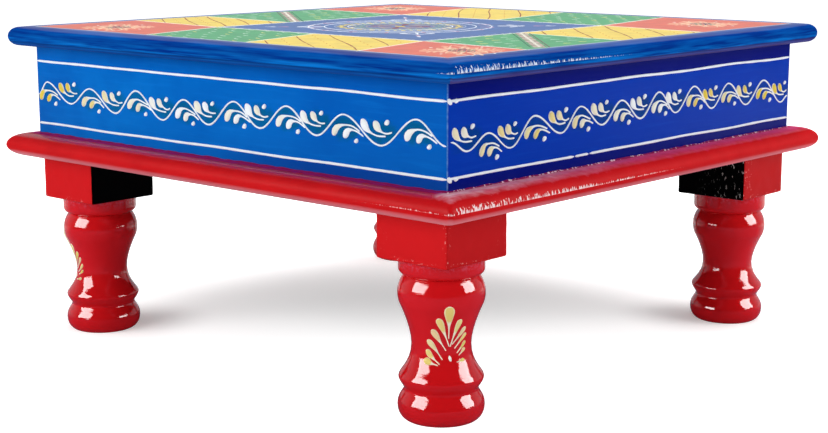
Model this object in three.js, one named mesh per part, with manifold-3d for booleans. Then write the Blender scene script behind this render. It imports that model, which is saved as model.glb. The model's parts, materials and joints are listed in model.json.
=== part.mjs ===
// Low square painted table: a rounded top board on a shallow box, a wider rounded board under the box,
// and four turned legs. Millimetres, +Z up, origin on the floor under the centre, -Y is the front.

import * as THREE from 'three';
import { mergeVertices } from 'three/addons/utils/BufferGeometryUtils.js';
import Module from 'manifold-3d';

const wasm = await Module();
wasm.setup();

// The box, and the boards above and below it, which stand out past it by their overhangs
const boxWidth = 279;
const boxHeight = 45.25;
const boxBoardThickness = 12;
const topOverhang = 10.5;
const topThickness = 10;
const topRounding = 4.25;
const baseOverhang = 13;
const baseThickness = 12;
const baseRounding = 9;
const cornerBlockWidth = 18;
const cornerBlockHeight = 25;

// Leg: a billet left square at the top. Each stretch is a height of the turned part, from the floor up
const billetWidth = 40;
const legBlockHeight = 20.75;
const footLowerStretch = 6.5;
const footUpperStretch = 7.5;
const ridgeStretch = 5;
const neckStretch = 14.5;
const taperStretch = 18;
const bulbLowerStretch = 5;
const bulbUpperStretch = 7.75;
const collarLowerStretch = 3;
const collarUpperStretch = 4;

// How deep the turner cuts below the billet's faces at each station of the turned part
const soleCut = 4.5;
const footCut = 0.95;
const lowerGrooveCut = 3.8;
const ridgeCut = 1.35;
const neckCut = 7;
const creaseCut = 1.8;
const bulbCut = 0.9;
const upperGrooveCut = 3.75;
const collarCut = 1.2;

// The legs are turned by eye: the bulb and neck of each lie lower than on the tallest one by this much.
// The square block takes a share of it, and the collar takes the rest
const frontRightLowering = 0;
const frontLeftLowering = 2;
const backRightLowering = 4.5;
const backLeftLowering = 1;
const blockLoweringShare = 0.5;

// Fasteners. The filler over a sunk nail head counts as part of the board. The nails along the sides keep
// their distance from the corners of the box
const fastenerClearance = 0.3;
const fillerCover = 1;
const nailHeadRadius = 1.75;
const nailHeadThickness = 0.8;
const nailRadius = 0.9;
const nailPoint = 2.5;
const topNailLength = 30;
const baseNailLength = 35;
const cornerNailLength = 35;
const topNailInset = 54.5;
const baseNailInset = 84.5;
const cornerNailInset = 12;
const screwLength = 60;
const screwRadius = 2;
const screwHeadRadius = 4;
const screwHeadHeight = 2.5;
const screwPoint = 6;

// How finely round shapes are divided
const legSegments = 28;
const curveSteps = 4;
const edgeSteps = 7;
const fastenerSegments = 8;
const mergeTolerance = 0.0001;

const quarterTurn = Math.PI / 2;

const topWidth = boxWidth + 2 * topOverhang;
const baseWidth = boxWidth + 2 * baseOverhang;

// Heights where the boards meet
const turnedHeight = footLowerStretch + footUpperStretch + ridgeStretch + neckStretch + taperStretch
  + bulbLowerStretch + bulbUpperStretch + collarLowerStretch + collarUpperStretch;
const baseBottom = turnedHeight + legBlockHeight;
const boxBottom = baseBottom + baseThickness;
const boxTop = boxBottom + boxHeight;
const tableTop = boxTop + topThickness;

// Each leg stands under the middle of a corner block, so that one screw passes through both
const boxOuter = boxWidth / 2;
const boxInner = boxOuter - boxBoardThickness;
const boardMiddle = boxOuter - boxBoardThickness / 2;
const legCentre = boxInner - cornerBlockWidth / 2;

const blueEnamel = new THREE.MeshStandardMaterial({ color: '#0a58b8', roughness: 0.3, metalness: 0 });
const redEnamel = new THREE.MeshStandardMaterial({ color: '#c81e22', roughness: 0.25, metalness: 0 });
const bareWood = new THREE.MeshStandardMaterial({ color: '#c9a878', roughness: 0.8, metalness: 0 });
const plainSteel = new THREE.MeshStandardMaterial({ color: '#8c8f92', roughness: 0.4, metalness: 1 });

const table = new THREE.Group();

// A closed solid from a geometry whose vertices are shared
function solidFrom(geometry) {
  const bare = geometry.clone();
  bare.deleteAttribute('normal');
  bare.deleteAttribute('uv');
  const merged = mergeVertices(bare, mergeTolerance);
  const corners = [];
  for (let first = 0; first < merged.index.count; first += 3) {
    const [a, b, c] = [0, 1, 2].map((step) => merged.index.getX(first + step));
    if (a !== b && b !== c && c !== a) {
      corners.push(a, b, c);
    }
  }
  return new wasm.Manifold(new wasm.Mesh({
    numProp: 3,
    vertProperties: merged.attributes.position.array,
    triVerts: new Uint32Array(corners),
  }));
}

// The geometry of a solid after its cuts
function geometryFrom(solid) {
  const mesh = solid.getMesh();
  const geometry = new THREE.BufferGeometry();
  geometry.setAttribute('position', new THREE.BufferAttribute(mesh.vertProperties, 3));
  geometry.setIndex(new THREE.BufferAttribute(mesh.triVerts, 1));
  geometry.computeVertexNormals();
  return geometry;
}

// A profile of radius and height turned about the upright axis
function turned(profile, segments) {
  return new THREE.LatheGeometry(profile, segments).rotateX(quarterTurn);
}

// A square board with a half ellipse for its edge: a profile turned in four segments, corner to corner
function roundedBoard(width, thickness, rounding) {
  const cornerShare = Math.SQRT2;
  const profile = [new THREE.Vector2(0, 0)];
  for (let step = 0; step <= 2 * edgeSteps; step += 1) {
    const angle = (step / edgeSteps - 1) * quarterTurn;
    const half = width / 2 - rounding * (1 - Math.cos(angle));
    profile.push(new THREE.Vector2(half * cornerShare, thickness * (1 + Math.sin(angle)) / 2));
  }
  profile.push(new THREE.Vector2(0, thickness));
  return turned(profile, 4).rotateZ(quarterTurn / 2);
}

function boardBox(length, width, height) {
  return new THREE.BoxGeometry(length, width, height).translate(0, 0, height / 2);
}

// The outline of a nail whose head is at the top, grown all round by the clearance where it is to be a hole
function nailOutline(length, clearance) {
  return [
    new THREE.Vector2(0, -length - clearance),
    new THREE.Vector2(nailRadius + clearance, -length + nailPoint - clearance),
    new THREE.Vector2(nailRadius + clearance, -nailHeadThickness - clearance),
    new THREE.Vector2(nailHeadRadius + clearance, -nailHeadThickness - clearance),
    new THREE.Vector2(nailHeadRadius + clearance, clearance),
    new THREE.Vector2(0, clearance),
  ];
}

// The same for a countersunk wood screw
function screwOutline(length, clearance) {
  return [
    new THREE.Vector2(0, -length - clearance),
    new THREE.Vector2(screwRadius + clearance, -length + screwPoint - clearance),
    new THREE.Vector2(screwRadius + clearance, -screwHeadHeight),
    new THREE.Vector2(screwHeadRadius + clearance, 0),
    new THREE.Vector2(screwHeadRadius + clearance, clearance),
    new THREE.Vector2(0, clearance),
  ];
}

// Places a fastener and keeps the hole that it needs in the boards
const holes = [];

function addFastener(name, outline, length, position, rotation) {
  const mesh = new THREE.Mesh(turned(outline(length, 0), fastenerSegments), plainSteel);
  mesh.name = name;
  mesh.position.copy(position);
  mesh.rotation.copy(rotation);
  mesh.updateMatrix();
  table.add(mesh);
  const hole = turned(outline(length, fastenerClearance), fastenerSegments).applyMatrix4(mesh.matrix);
  holes.push(solidFrom(hole));
}

// Heads up, heads down, and heads out of the front or the back
const headUp = new THREE.Euler(0, 0, 0);
const headDown = new THREE.Euler(2 * quarterTurn, 0, 0);
const headFront = new THREE.Euler(quarterTurn, 0, 0);
const headBack = new THREE.Euler(-quarterTurn, 0, 0);

const sides = [
  { name: 'front', x: 0, y: -1 },
  { name: 'right', x: 1, y: 0 },
  { name: 'back', x: 0, y: 1 },
  { name: 'left', x: -1, y: 0 },
];

const corners = [
  { name: 'front_left', x: -1, y: -1, lowering: frontLeftLowering },
  { name: 'front_right', x: 1, y: -1, lowering: frontRightLowering },
  { name: 'back_right', x: 1, y: 1, lowering: backRightLowering },
  { name: 'back_left', x: -1, y: 1, lowering: backLeftLowering },
];

// Two nails along each side of the box, one in from each corner
function addSideNails(prefix, inset, length, height, rotation) {
  for (const side of sides) {
    for (const [end, along] of [['a', inset - boxOuter], ['b', boxOuter - inset]]) {
      const position = new THREE.Vector3(
        side.x * boardMiddle + Math.abs(side.y) * along,
        side.y * boardMiddle + Math.abs(side.x) * along,
        height,
      );
      addFastener(`${prefix}_${side.name}_${end}`, nailOutline, length, position, rotation);
    }
  }
}

// Two nails at each corner, through the front or back board into the end of the side board
function addCornerNails(corner) {
  const rotation = corner.y < 0 ? headFront : headBack;
  for (const [end, height] of [['low', boxBottom + cornerNailInset], ['high', boxTop - cornerNailInset]]) {
    const position = new THREE.Vector3(corner.x * boardMiddle, corner.y * (boxOuter - fillerCover), height);
    addFastener(`corner_nail_${corner.name}_${end}`, nailOutline, cornerNailLength, position, rotation);
  }
}

function addLegScrew(corner) {
  const head = boxBottom + cornerBlockHeight;
  const position = new THREE.Vector3(corner.x * legCentre, corner.y * legCentre, head);
  addFastener(`leg_screw_${corner.name}`, screwOutline, screwLength, position, headUp);
}

// A wooden piece, drilled wherever a fastener passes through it
function addPiece(name, solid, material, x, y, z) {
  let drilled = solid;
  for (const hole of holes) {
    drilled = drilled.subtract(hole.translate([-x, -y, -z]));
  }
  const mesh = new THREE.Mesh(geometryFrom(drilled), material);
  mesh.name = name;
  mesh.position.set(x, y, z);
  table.add(mesh);
}

// The turned part's outline from the sole up. Each station has its cut, its rise above the one below, and
// upright handles that reach along the stretches below and above it: none at all makes a sharp corner
function legProfile(lowering) {
  const slender = 1 - lowering / (neckStretch + taperStretch);
  const collarGrowth = lowering * (1 - blockLoweringShare);
  const stations = [
    { cut: soleCut, rise: 0, belowShare: 0, aboveShare: 0 },
    { cut: footCut, rise: footLowerStretch, belowShare: 0.8, aboveShare: 0.55 },
    { cut: lowerGrooveCut, rise: footUpperStretch, belowShare: 0.25, aboveShare: 0.15 },
    { cut: ridgeCut, rise: ridgeStretch, belowShare: 0.35, aboveShare: 0.15 },
    { cut: neckCut, rise: neckStretch * slender, belowShare: 0.6, aboveShare: 0.4 },
    { cut: creaseCut, rise: taperStretch * slender, belowShare: 0, aboveShare: 0 },
    { cut: bulbCut, rise: bulbLowerStretch, belowShare: 0.6, aboveShare: 0.6 },
    { cut: upperGrooveCut, rise: bulbUpperStretch, belowShare: 0, aboveShare: 0 },
    { cut: collarCut, rise: collarLowerStretch, belowShare: 0.8, aboveShare: 0 },
    { cut: collarCut, rise: collarUpperStretch + collarGrowth, belowShare: 0, aboveShare: 0 },
  ];
  const path = new THREE.Path();
  let below = stations[0];
  let height = 0;
  path.moveTo(billetWidth / 2 - below.cut, height);
  for (const station of stations.slice(1)) {
    const from = billetWidth / 2 - below.cut;
    const to = billetWidth / 2 - station.cut;
    const top = height + station.rise;
    path.bezierCurveTo(
      from, height + station.rise * below.aboveShare,
      to, top - station.rise * station.belowShare,
      to, top,
    );
    below = station;
    height = top;
  }
  return path.getPoints(curveSteps);
}

function legSolid(lowering) {
  const outline = legProfile(lowering);
  const shoulder = outline[outline.length - 1].y;
  const closed = [new THREE.Vector2(0, 0), ...outline, new THREE.Vector2(0, shoulder)];
  const block = boardBox(billetWidth, billetWidth, baseBottom - shoulder).translate(0, 0, shoulder);
  return solidFrom(turned(closed, legSegments)).add(solidFrom(block));
}

// The front and back boards run the full width, and the side boards fit between them
function boxBoardSolid(side) {
  const length = side.y !== 0 ? boxWidth : boxBoardThickness;
  const width = side.y !== 0 ? boxBoardThickness : 2 * boxInner;
  return solidFrom(boardBox(length, width, boxHeight));
}

addSideNails('top_nail', topNailInset, topNailLength, tableTop - fillerCover, headUp);
addSideNails('base_nail', baseNailInset, baseNailLength, baseBottom, headDown);
corners.forEach(addCornerNails);
corners.forEach(addLegScrew);

const topBoard = solidFrom(roundedBoard(topWidth, topThickness, topRounding));
addPiece('top_board', topBoard, blueEnamel, 0, 0, boxTop);
for (const side of sides) {
  const board = boxBoardSolid(side);
  addPiece(`apron_${side.name}`, board, blueEnamel, side.x * boardMiddle, side.y * boardMiddle, boxBottom);
}
const lowerBoard = solidFrom(roundedBoard(baseWidth, baseThickness, baseRounding));
addPiece('lower_board', lowerBoard, redEnamel, 0, 0, baseBottom);
for (const corner of corners) {
  const [x, y] = [corner.x * legCentre, corner.y * legCentre];
  const block = solidFrom(boardBox(cornerBlockWidth, cornerBlockWidth, cornerBlockHeight));
  addPiece(`corner_block_${corner.name}`, block, bareWood, x, y, boxBottom);
  addPiece(`leg_${corner.name}`, legSolid(corner.lowering), redEnamel, x, y, 0);
}

export default table;
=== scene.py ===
# A painted bajot low table: a stepped top on four turned legs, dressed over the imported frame.
# Metres, +Z up, -Y is the front. The sizes in the dictionaries are millimetres.

import json
import math
import random
from functools import partial

import bmesh
import bpy
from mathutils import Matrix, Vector, noise

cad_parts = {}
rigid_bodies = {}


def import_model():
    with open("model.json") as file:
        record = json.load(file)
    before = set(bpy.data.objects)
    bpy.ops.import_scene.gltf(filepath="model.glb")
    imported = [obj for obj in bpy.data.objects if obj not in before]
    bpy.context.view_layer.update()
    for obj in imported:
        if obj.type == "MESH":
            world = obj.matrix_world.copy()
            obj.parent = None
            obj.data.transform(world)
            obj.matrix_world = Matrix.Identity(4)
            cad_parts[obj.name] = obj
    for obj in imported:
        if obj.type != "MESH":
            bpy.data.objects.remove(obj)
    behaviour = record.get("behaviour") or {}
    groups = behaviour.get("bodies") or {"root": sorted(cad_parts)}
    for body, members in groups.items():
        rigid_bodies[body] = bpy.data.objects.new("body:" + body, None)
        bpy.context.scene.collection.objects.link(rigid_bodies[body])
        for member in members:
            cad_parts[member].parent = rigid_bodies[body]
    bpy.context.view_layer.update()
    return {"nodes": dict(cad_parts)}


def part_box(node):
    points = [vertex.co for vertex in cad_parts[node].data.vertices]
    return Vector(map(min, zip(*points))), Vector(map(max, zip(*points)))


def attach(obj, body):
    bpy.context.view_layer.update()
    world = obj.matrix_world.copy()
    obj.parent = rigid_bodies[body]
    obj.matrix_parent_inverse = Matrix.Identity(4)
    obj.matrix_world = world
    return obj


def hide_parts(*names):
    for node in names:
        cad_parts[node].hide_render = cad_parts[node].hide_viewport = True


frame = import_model()
mm = 0.001
random.seed(41)

topLow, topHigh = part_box("top_board")
boxLow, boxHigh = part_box("apron_front")
baseLow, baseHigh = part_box("lower_board")
boxHalf = boxHigh.x
boxFoot = boxLow.z
boxRise = boxHigh.z - boxLow.z
boxWide = 2 * boxHalf / mm  # millimetres, as the border patterns are laid out
print("frame loaded, box", round(boxWide, 1), "mm wide")


# Small helpers
def linearColour(hexCode):
    channels = [int(hexCode[at:at + 2], 16) / 255 for at in (1, 3, 5)]
    return tuple(c / 12.92 if c <= 0.04045 else ((c + 0.055) / 1.055) ** 2.4 for c in channels) + (1.0,)


def mixed(low, high, share):
    return low + (high - low) * share


def blend(first, second, share):
    # a point or a colour between two others
    return tuple(mixed(a, b, share) for a, b in zip(first, second))


def straight(start, end, count):
    # evenly spaced places from start to end
    return [blend(start, end, step / count) for step in range(count + 1)]


def shifted(points, base):
    return [(base[0] + u, base[1] + v) for u, v in points]


def smoothStep(low, high, value):
    # rises from 0 at low to 1 at high; low may be the larger
    share = min(1.0, max(0.0, (value - low) / (high - low)))
    return share * share * (3 - 2 * share)


def drift(point, size, amount, layer=0.0):
    # slow unevenness of hand work: noise with features of this size in millimetres
    x, y, z = (c / (size * mm) for c in point)
    return noise.noise((x + layer, y - layer, z + layer)) * amount * mm


def valueAt(stops, place):
    # straight lines between given stops of place and value
    for (lowPlace, lowValue), (highPlace, highValue) in zip(stops, stops[1:]):
        if place <= highPlace:
            return mixed(lowValue, highValue, max(0.0, (place - lowPlace) / (highPlace - lowPlace)))
    return stops[-1][1]


def addNode(tree, kind, inputs=(), output=None, **settings):
    # one node with its options set and its inputs filled or linked, by name or in the order it shows them.
    # It hands back the output of this name, or else the first one in use
    node = tree.nodes.new("ShaderNode" + kind)
    for option, value in settings.items():
        setattr(node, option, value)
    if isinstance(inputs, dict):
        filled = [(node.inputs[name], value) for name, value in inputs.items()]
    else:
        filled = zip([socket for socket in node.inputs if socket.enabled], inputs)
    for socket, value in filled:
        if isinstance(value, bpy.types.NodeSocket):
            tree.links.new(value, socket)
        else:
            socket.default_value = linearColour(value) if isinstance(value, str) else value
    if output:
        return node.outputs[output]
    return next((socket for socket in node.outputs if socket.enabled), None)


def newMaterial(name):
    # an empty material, and the function that adds nodes to it
    material = bpy.data.materials.new(name)
    material.use_nodes = True
    material.node_tree.nodes.clear()
    return material, partial(addNode, material.node_tree)


def newPiece(name, bm, materials, nodes=(), sharpAngle=38):
    # turns a bmesh into a piece that rides on the table and stands for its nodes
    mesh = bpy.data.meshes.new(name)
    bmesh.ops.recalc_face_normals(bm, faces=bm.faces)
    bm.to_mesh(mesh)
    bm.free()
    for material in materials:
        mesh.materials.append(material)
    mesh.polygons.foreach_set("use_smooth", [True] * len(mesh.polygons))
    mesh.set_sharp_from_angle(angle=math.radians(sharpAngle))
    piece = bpy.data.objects.new(name, mesh)
    bpy.context.scene.collection.objects.link(piece)
    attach(piece, "root")
    if nodes:
        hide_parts(*nodes)
    return piece


# Camera at the photograph's viewing angle
cameraSet = {
    "azimuth": 41.7231,
    "elevation": 10.6442,
    "distance": 850.0,
    "targetHeight": 57.36,
    "targetAside": -2.235,
    "focalLength": 69.395,
    "sensorWidth": 36.0,
    "farthest": 50000.0,
}


def outward(azimuth, elevation=0.0):
    # the way out from the table at these angles in degrees: azimuth 0 is the front and 90 the right
    turn, climb = math.radians(azimuth), math.radians(elevation)
    return Vector((math.sin(turn) * math.cos(climb), -math.cos(turn) * math.cos(climb), math.sin(climb)))


def hang(name, thing, way, spot):
    # puts the camera or a lamp at this spot, looking back along its way out
    holder = bpy.data.objects.new(name, thing)
    holder.location = spot
    holder.rotation_euler = way.to_track_quat("Z", "Y").to_euler()
    bpy.context.scene.collection.objects.link(holder)
    return holder


# Ways across the floor as the camera sees them
aside = outward(cameraSet["azimuth"] + 90)
behind = -outward(cameraSet["azimuth"])


def makeCamera():
    way = outward(cameraSet["azimuth"], cameraSet["elevation"])
    target = aside * cameraSet["targetAside"] * mm + Vector((0, 0, cameraSet["targetHeight"] * mm))
    lens = bpy.data.cameras.new("camera")
    lens.lens = cameraSet["focalLength"]
    lens.sensor_width = cameraSet["sensorWidth"]
    lens.clip_end = cameraSet["farthest"] * mm
    bpy.context.scene.camera = hang("camera", lens, way, target + way * cameraSet["distance"] * mm)


makeCamera()
bpy.context.scene.view_settings.view_transform = "Standard"
print("camera set")

# Studio, in metres. Two large soft boxes low beside the table and one overhead light it, and a brighter
# window on each side is what the lacquer mirrors. The windows stand nearer, since a ray that meets a box
# misses what is behind
lamps = {
    "leftBox": {"azimuth": -12, "elevation": 19, "distance": 1.6, "size": (1.4, 1.1), "power": 16.8},
    "rightBox": {"azimuth": 115, "elevation": 19, "distance": 1.55, "size": (1.1, 1.1), "power": 13.5},
    "overhead": {"azimuth": 200, "elevation": 78, "distance": 1.2, "size": (1.0, 1.0), "power": 12.5},
    "leftWindow": {"azimuth": -18.5, "elevation": 21.5, "distance": 1.5, "size": (1.0, 0.9), "power": 43},
    "rightWindow": {"azimuth": 117, "elevation": 21.5, "distance": 1.45, "size": (0.8, 0.85), "power": 32},
}
studio = {
    "light": "#FFFFFF",
    "ambient": 0.16,
    "roomInMirrors": "#EEF2FF",
    "mirrorInFront": 0.01,
    "mirrorBehind": 0.6,
    "floorSize": 9.0,
    "floorAlbedo": "#E6E6E6",
    "floorInMirrors": "#6C7490",
    "floorBehindInMirrors": "#F4F4F4",
    "floorBehindReach": 0.25,
    "floorGlowNear": 0.45,
    "floorGlowFar": 1.0,
    "floorGlowReach": 0.2,
    "floorShade": (-0.054, 0.0385, 0.0),
    "floorShadeLong": 0.4,
    "footShades": {"leg_front_left": (0.001, 0.016), "leg_back_right": (-0.013, -0.004)},
    "footShadeReach": 0.05,
    "footShadeDepth": 0.45,
}


def makeLamp(name, lamp):
    way = outward(lamp["azimuth"], lamp["elevation"])
    light = bpy.data.lights.new(name, "AREA")
    light.shape = "RECTANGLE"
    light.size, light.size_y = lamp["size"]
    light.energy = lamp["power"]
    holder = hang(name, light, way, way * lamp["distance"] + Vector((0, 0, topHigh.z / 2)))
    isWindow = name.endswith("Window")
    holder.visible_camera = False
    holder.visible_diffuse = not isWindow
    holder.visible_glossy = isWindow


def makeRoom():
    # an even pale room, which mirrors show bright behind the table and dark in front of it
    world = bpy.data.worlds.new("room")
    bpy.context.scene.world = world
    world.use_nodes = True
    world.node_tree.nodes.clear()
    add = partial(addNode, world.node_tree)
    glossyRay = add("LightPath", output="Is Glossy Ray")
    cameraRay = add("LightPath", output="Is Camera Ray")
    heading = add("TexCoord", output="Generated")
    toBehind = add("VectorMath", (heading, behind), operation="DOT_PRODUCT")
    shares = (toBehind, -0.5, 0.6, studio["mirrorInFront"], studio["mirrorBehind"])
    mirror = add("MapRange", shares, interpolation_type="SMOOTHSTEP")
    level = add("Mix", (glossyRay, studio["ambient"], mirror))
    seen = add("Mix", (cameraRay, level, 1.0))
    tone = add("Mix", (glossyRay, studio["light"], studio["roomInMirrors"]), data_type="RGBA")
    sky = add("Background", (tone, seen))
    add("OutputWorld", (sky,))


def makeFloor():
    # matt white paper. It glows for the camera, and less under the table and by two feet, a painted soft
    # shadow
    material, add = newMaterial("whitePaperFloor")
    glossyRay = add("LightPath", output="Is Glossy Ray")
    cameraRay = add("LightPath", output="Is Camera Ray")
    place = add("TexCoord", output="Object")
    back = add("VectorMath", (place, behind), operation="DOT_PRODUCT")
    beyond = add("MapRange", (back, 0.0, studio["floorBehindReach"]))
    tones = (beyond, studio["floorInMirrors"], studio["floorBehindInMirrors"])
    mirrored = add("Mix", tones, data_type="RGBA")
    tone = add("Mix", (glossyRay, studio["floorAlbedo"], mirrored), data_type="RGBA")
    paper = add("BsdfDiffuse", (tone,))
    centred = add("VectorMath", (place, studio["floorShade"]), operation="SUBTRACT")
    depth = add("VectorMath", (centred, behind), operation="DOT_PRODUCT")
    along = add("VectorMath", (centred, aside * studio["floorShadeLong"]), operation="DOT_PRODUCT")
    flat = add("CombineXYZ", (along, depth))
    away = add("VectorMath", (flat,), operation="LENGTH")
    shares = (away, 0.0, studio["floorGlowReach"], studio["floorGlowNear"], studio["floorGlowFar"])
    shown = add("MapRange", shares, interpolation_type="SMOOTHSTEP")
    for name, (offX, offY) in studio["footShades"].items():
        low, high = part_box(name)
        spot = ((low.x + high.x) / 2 + offX, (low.y + high.y) / 2 + offY, 0)
        fromFoot = add("VectorMath", (place, spot), operation="DISTANCE")
        shares = (fromFoot, 0.0, studio["footShadeReach"], studio["footShadeDepth"], 1.0)
        dip = add("MapRange", shares, interpolation_type="SMOOTHSTEP")
        shown = add("Math", (shown, dip), operation="MULTIPLY")
    shown = add("Math", (cameraRay, shown), operation="MULTIPLY")
    glow = add("Emission", (studio["light"], shown))
    both = add("AddShader", (paper, glow))
    add("OutputMaterial", (both,))
    half = studio["floorSize"] / 2
    bm = bmesh.new()
    bm.faces.new([bm.verts.new((x * half, y * half, 0)) for x, y in ((-1, -1), (1, -1), (1, 1), (-1, 1))])
    mesh = bpy.data.meshes.new("floor")
    bm.to_mesh(mesh)
    bm.free()
    mesh.materials.append(material)
    floor = bpy.data.objects.new("floor", mesh)
    bpy.context.scene.collection.objects.link(floor)


for lampName, lampSet in lamps.items():
    makeLamp(lampName, lampSet)
makeRoom()
makeFloor()
print("studio set")

# Synthetic enamel, brushed over primed wood: glossy, with slow waviness and brush drag in the film. The
# marks of single hairs are finer than a pixel, so the drag is drawn as coarse as it needs to show
enamel = {"ior": 1.5, "waveSize": 22.0, "boxGloss": 0.05, "paintGloss": 0.1, "lacquerGloss": 0.5}


def mottle(add, size, stretch=(1, 1, 1), detail=3.0, roughness=0.55):
    # cloudy unevenness in the object's own space: patches of this many millimetres, drawn out by stretch
    scaled = add("Mapping", {
        "Vector": add("TexCoord", output="Object"),
        "Scale": tuple(1 / (size * mm * s) for s in stretch),
    })
    clouds = {"Vector": scaled, "Scale": 1.0, "Detail": detail, "Roughness": roughness}
    return add("TexNoise", clouds, output="Fac")


def layCoats(add, ground, coats):
    # coats of paint over a ground colour, each with how much of it shows
    for cover, colour in coats:
        ground = add("Mix", (cover, ground, colour), data_type="RGBA")
    return ground


def enamelShader(material, add, colour, roughness, bumps, gloss):
    # the last nodes of every enamel. Each bump is a height and its depth in millimetres
    film = {"Base Color": colour, "Roughness": roughness, "IOR": enamel["ior"], "Specular IOR Level": gloss}
    for height, depth in bumps:
        bump = {"Height": height, "Distance": depth * mm}
        if "Normal" in film:
            bump["Normal"] = film["Normal"]
        film["Normal"] = add("Bump", bump)
    surface = add("BsdfPrincipled", film)
    add("OutputMaterial", (surface,))
    return material


# Blue enamel of the box: brushed along the boards, with a green wash along the vine. The front and back are
# a clear azure; the side boards are a deeper blue, a painted shade where less light falls
blueFinish = {
    "front": {
        "colour": "#026CC6", "shade": "#015CB6", "pale": "#0C78D4", "near": "#0256B4", "wash": "#045868",
        "stripShade": "#06429C",
    },
    "side": {
        "colour": "#0236AC", "shade": "#022E98", "pale": "#0A46BC", "near": "#0236AC", "wash": "#033C60",
        "stripShade": "#021078",
    },
    "wornAndSheen": "#7FA9DC",
    "cloudSize": 40.0,
    "streakSize": 2.0,
    "washSize": 3.0,
    "washCover": (0.455, 0.7),
    "nearShadeCover": 0.75,
    "paleCover": 0.35,
    "wearSize": 2.4,
    "wearCover": 0.5,
    "dragSize": 0.9,
    "dragDepth": 0.007,
    "waveDepth": 0.05,
    "roughness": (0.11, 0.18),
}


def makeBlueEnamel(name, tones):
    material, add = newMaterial(name)
    place = add("TexCoord", output="Object")
    across = add("SeparateXYZ", (place,), output="X")
    clouds = mottle(add, blueFinish["cloudSize"], detail=4.0)
    streaks = mottle(add, blueFinish["streakSize"], (14, 14, 1))
    wash = add("Attribute", output="Fac", attribute_name="wash")
    uneven = mottle(add, blueFinish["washSize"])
    uneven = add("MapRange", (uneven, 0.3, 0.6, *blueFinish["washCover"]))
    wornAndSheen = add("Attribute", output="Fac", attribute_name="wornAndSheen")
    patches = mottle(add, blueFinish["wearSize"])
    patches = add("MapRange", (patches, 0.3, 0.6, 0.0, blueFinish["wearCover"]))
    painted = layCoats(add, tones["shade"], [
        (add("MapRange", (clouds, 0.35, 0.65)), tones["colour"]),
        # painted shade: the front darkens towards its near corner
        (add("MapRange", (across, -0.5 * boxHalf, boxHalf, 0.0, blueFinish["nearShadeCover"])), tones["near"]),
        (add("MapRange", (streaks, 0.52, 0.78, 0.0, blueFinish["paleCover"])), tones["pale"]),
        (add("Math", (wash, uneven), operation="MULTIPLY"), tones["wash"]),
        # painted shade under the top board and by the foot
        (add("Attribute", output="Fac", attribute_name="stripShade"), tones["stripShade"]),
        # wear on the arrises, and partly a painted highlight along them
        (add("Math", (wornAndSheen, patches), operation="MULTIPLY"), blueFinish["wornAndSheen"]),
    ])
    wave = mottle(add, enamel["waveSize"], (2, 2, 1))
    drag = mottle(add, blueFinish["dragSize"], (18, 18, 1))
    bumps = [(wave, blueFinish["waveDepth"]), (drag, blueFinish["dragDepth"])]
    rough = add("MapRange", (clouds, 0.3, 0.7, *blueFinish["roughness"]))
    return enamelShader(material, add, painted, rough, bumps, enamel["boxGloss"])


litFrontBlueEnamel = makeBlueEnamel("brushedBlueEnamelLit", blueFinish["front"])
shadedSideBlueEnamel = makeBlueEnamel("brushedBlueEnamelPaintedShade", blueFinish["side"])

# Raised cone paint: thick acrylic outline paint under the lacquer, satin and a little lumpy, each stroke in
# its own tint
conePaint = {
    "roughness": 0.34,
    "grainSize": 0.5,
    "grainTint": "#CFCFC4",
    "grainCover": 0.1,
    "lumpSize": 1.6,
    "lumpDepth": 0.03,
}


def makeConePaint():
    material, add = newMaterial("raisedConePaint")
    tint = add("Attribute", output="Color", attribute_name="tint")
    grain = add("MapRange", (mottle(add, conePaint["grainSize"]), 0.35, 0.8, 0.0, conePaint["grainCover"]))
    grained = (grain, tint, conePaint["grainTint"])
    darker = add("Mix", grained, data_type="RGBA", blend_type="MULTIPLY")
    bumps = [(mottle(add, conePaint["lumpSize"]), conePaint["lumpDepth"])]
    return enamelShader(material, add, darker, conePaint["roughness"], bumps, enamel["paintGloss"])


raisedPaint = makeConePaint()
tintHex = {
    "white": "#F4F9FE",
    "cream": "#FDFBF2",
    "gold": "#E6CB4C",
    "chalk": "#AAB9CE",
    "pink": "#CF9FB4",
    "rust": "#9C4C1C",
    "bark": "#6E564C",
    "maroon": "#8C2F2C",
    "slate": "#5E6F7C",
    "dusk": "#A8989A",
    "leaf": "#9FB59A",
    "mint": "#D2E6D8",
    "lemon": "#F1E08A",
    "peach": "#F6CFAE",
    "beige": "#C9C2AC",
    "moss": "#2C6E48",
    "amber": "#DE9A3E",
}
tints = {name: linearColour(code) for name, code in tintHex.items()}
print("enamels mixed")

# Brush strokes. A stroke has a spine of points on the painted face, in millimetres, and a half width at each
strokeSection = ((-1.0, None), (-0.62, 0.78), (0.0, 1.0), (0.62, 0.78), (1.0, None))
strokeSink = 0.12


def newStrokes():
    bm = bmesh.new()
    bm.verts.layers.float_color.new("tint")
    return bm


def strokePiece(name, bm):
    newPiece(name, bm, [raisedPaint], sharpAngle=60)


def bridge(bm, rings, closed=False):
    # skins a row of rings: a closed row joins its last ring to its first, an open one gets two end faces
    pairs = list(zip(rings, rings[1:]))
    if closed:
        pairs.append((rings[-1], rings[0]))
    for low, high in pairs:
        for at in range(len(low)):
            ahead = (at + 1) % len(low)
            bm.faces.new((low[at], low[ahead], high[ahead], high[at]))
    if not closed:
        bm.faces.new(rings[0][::-1])
        bm.faces.new(rings[-1])


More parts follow.
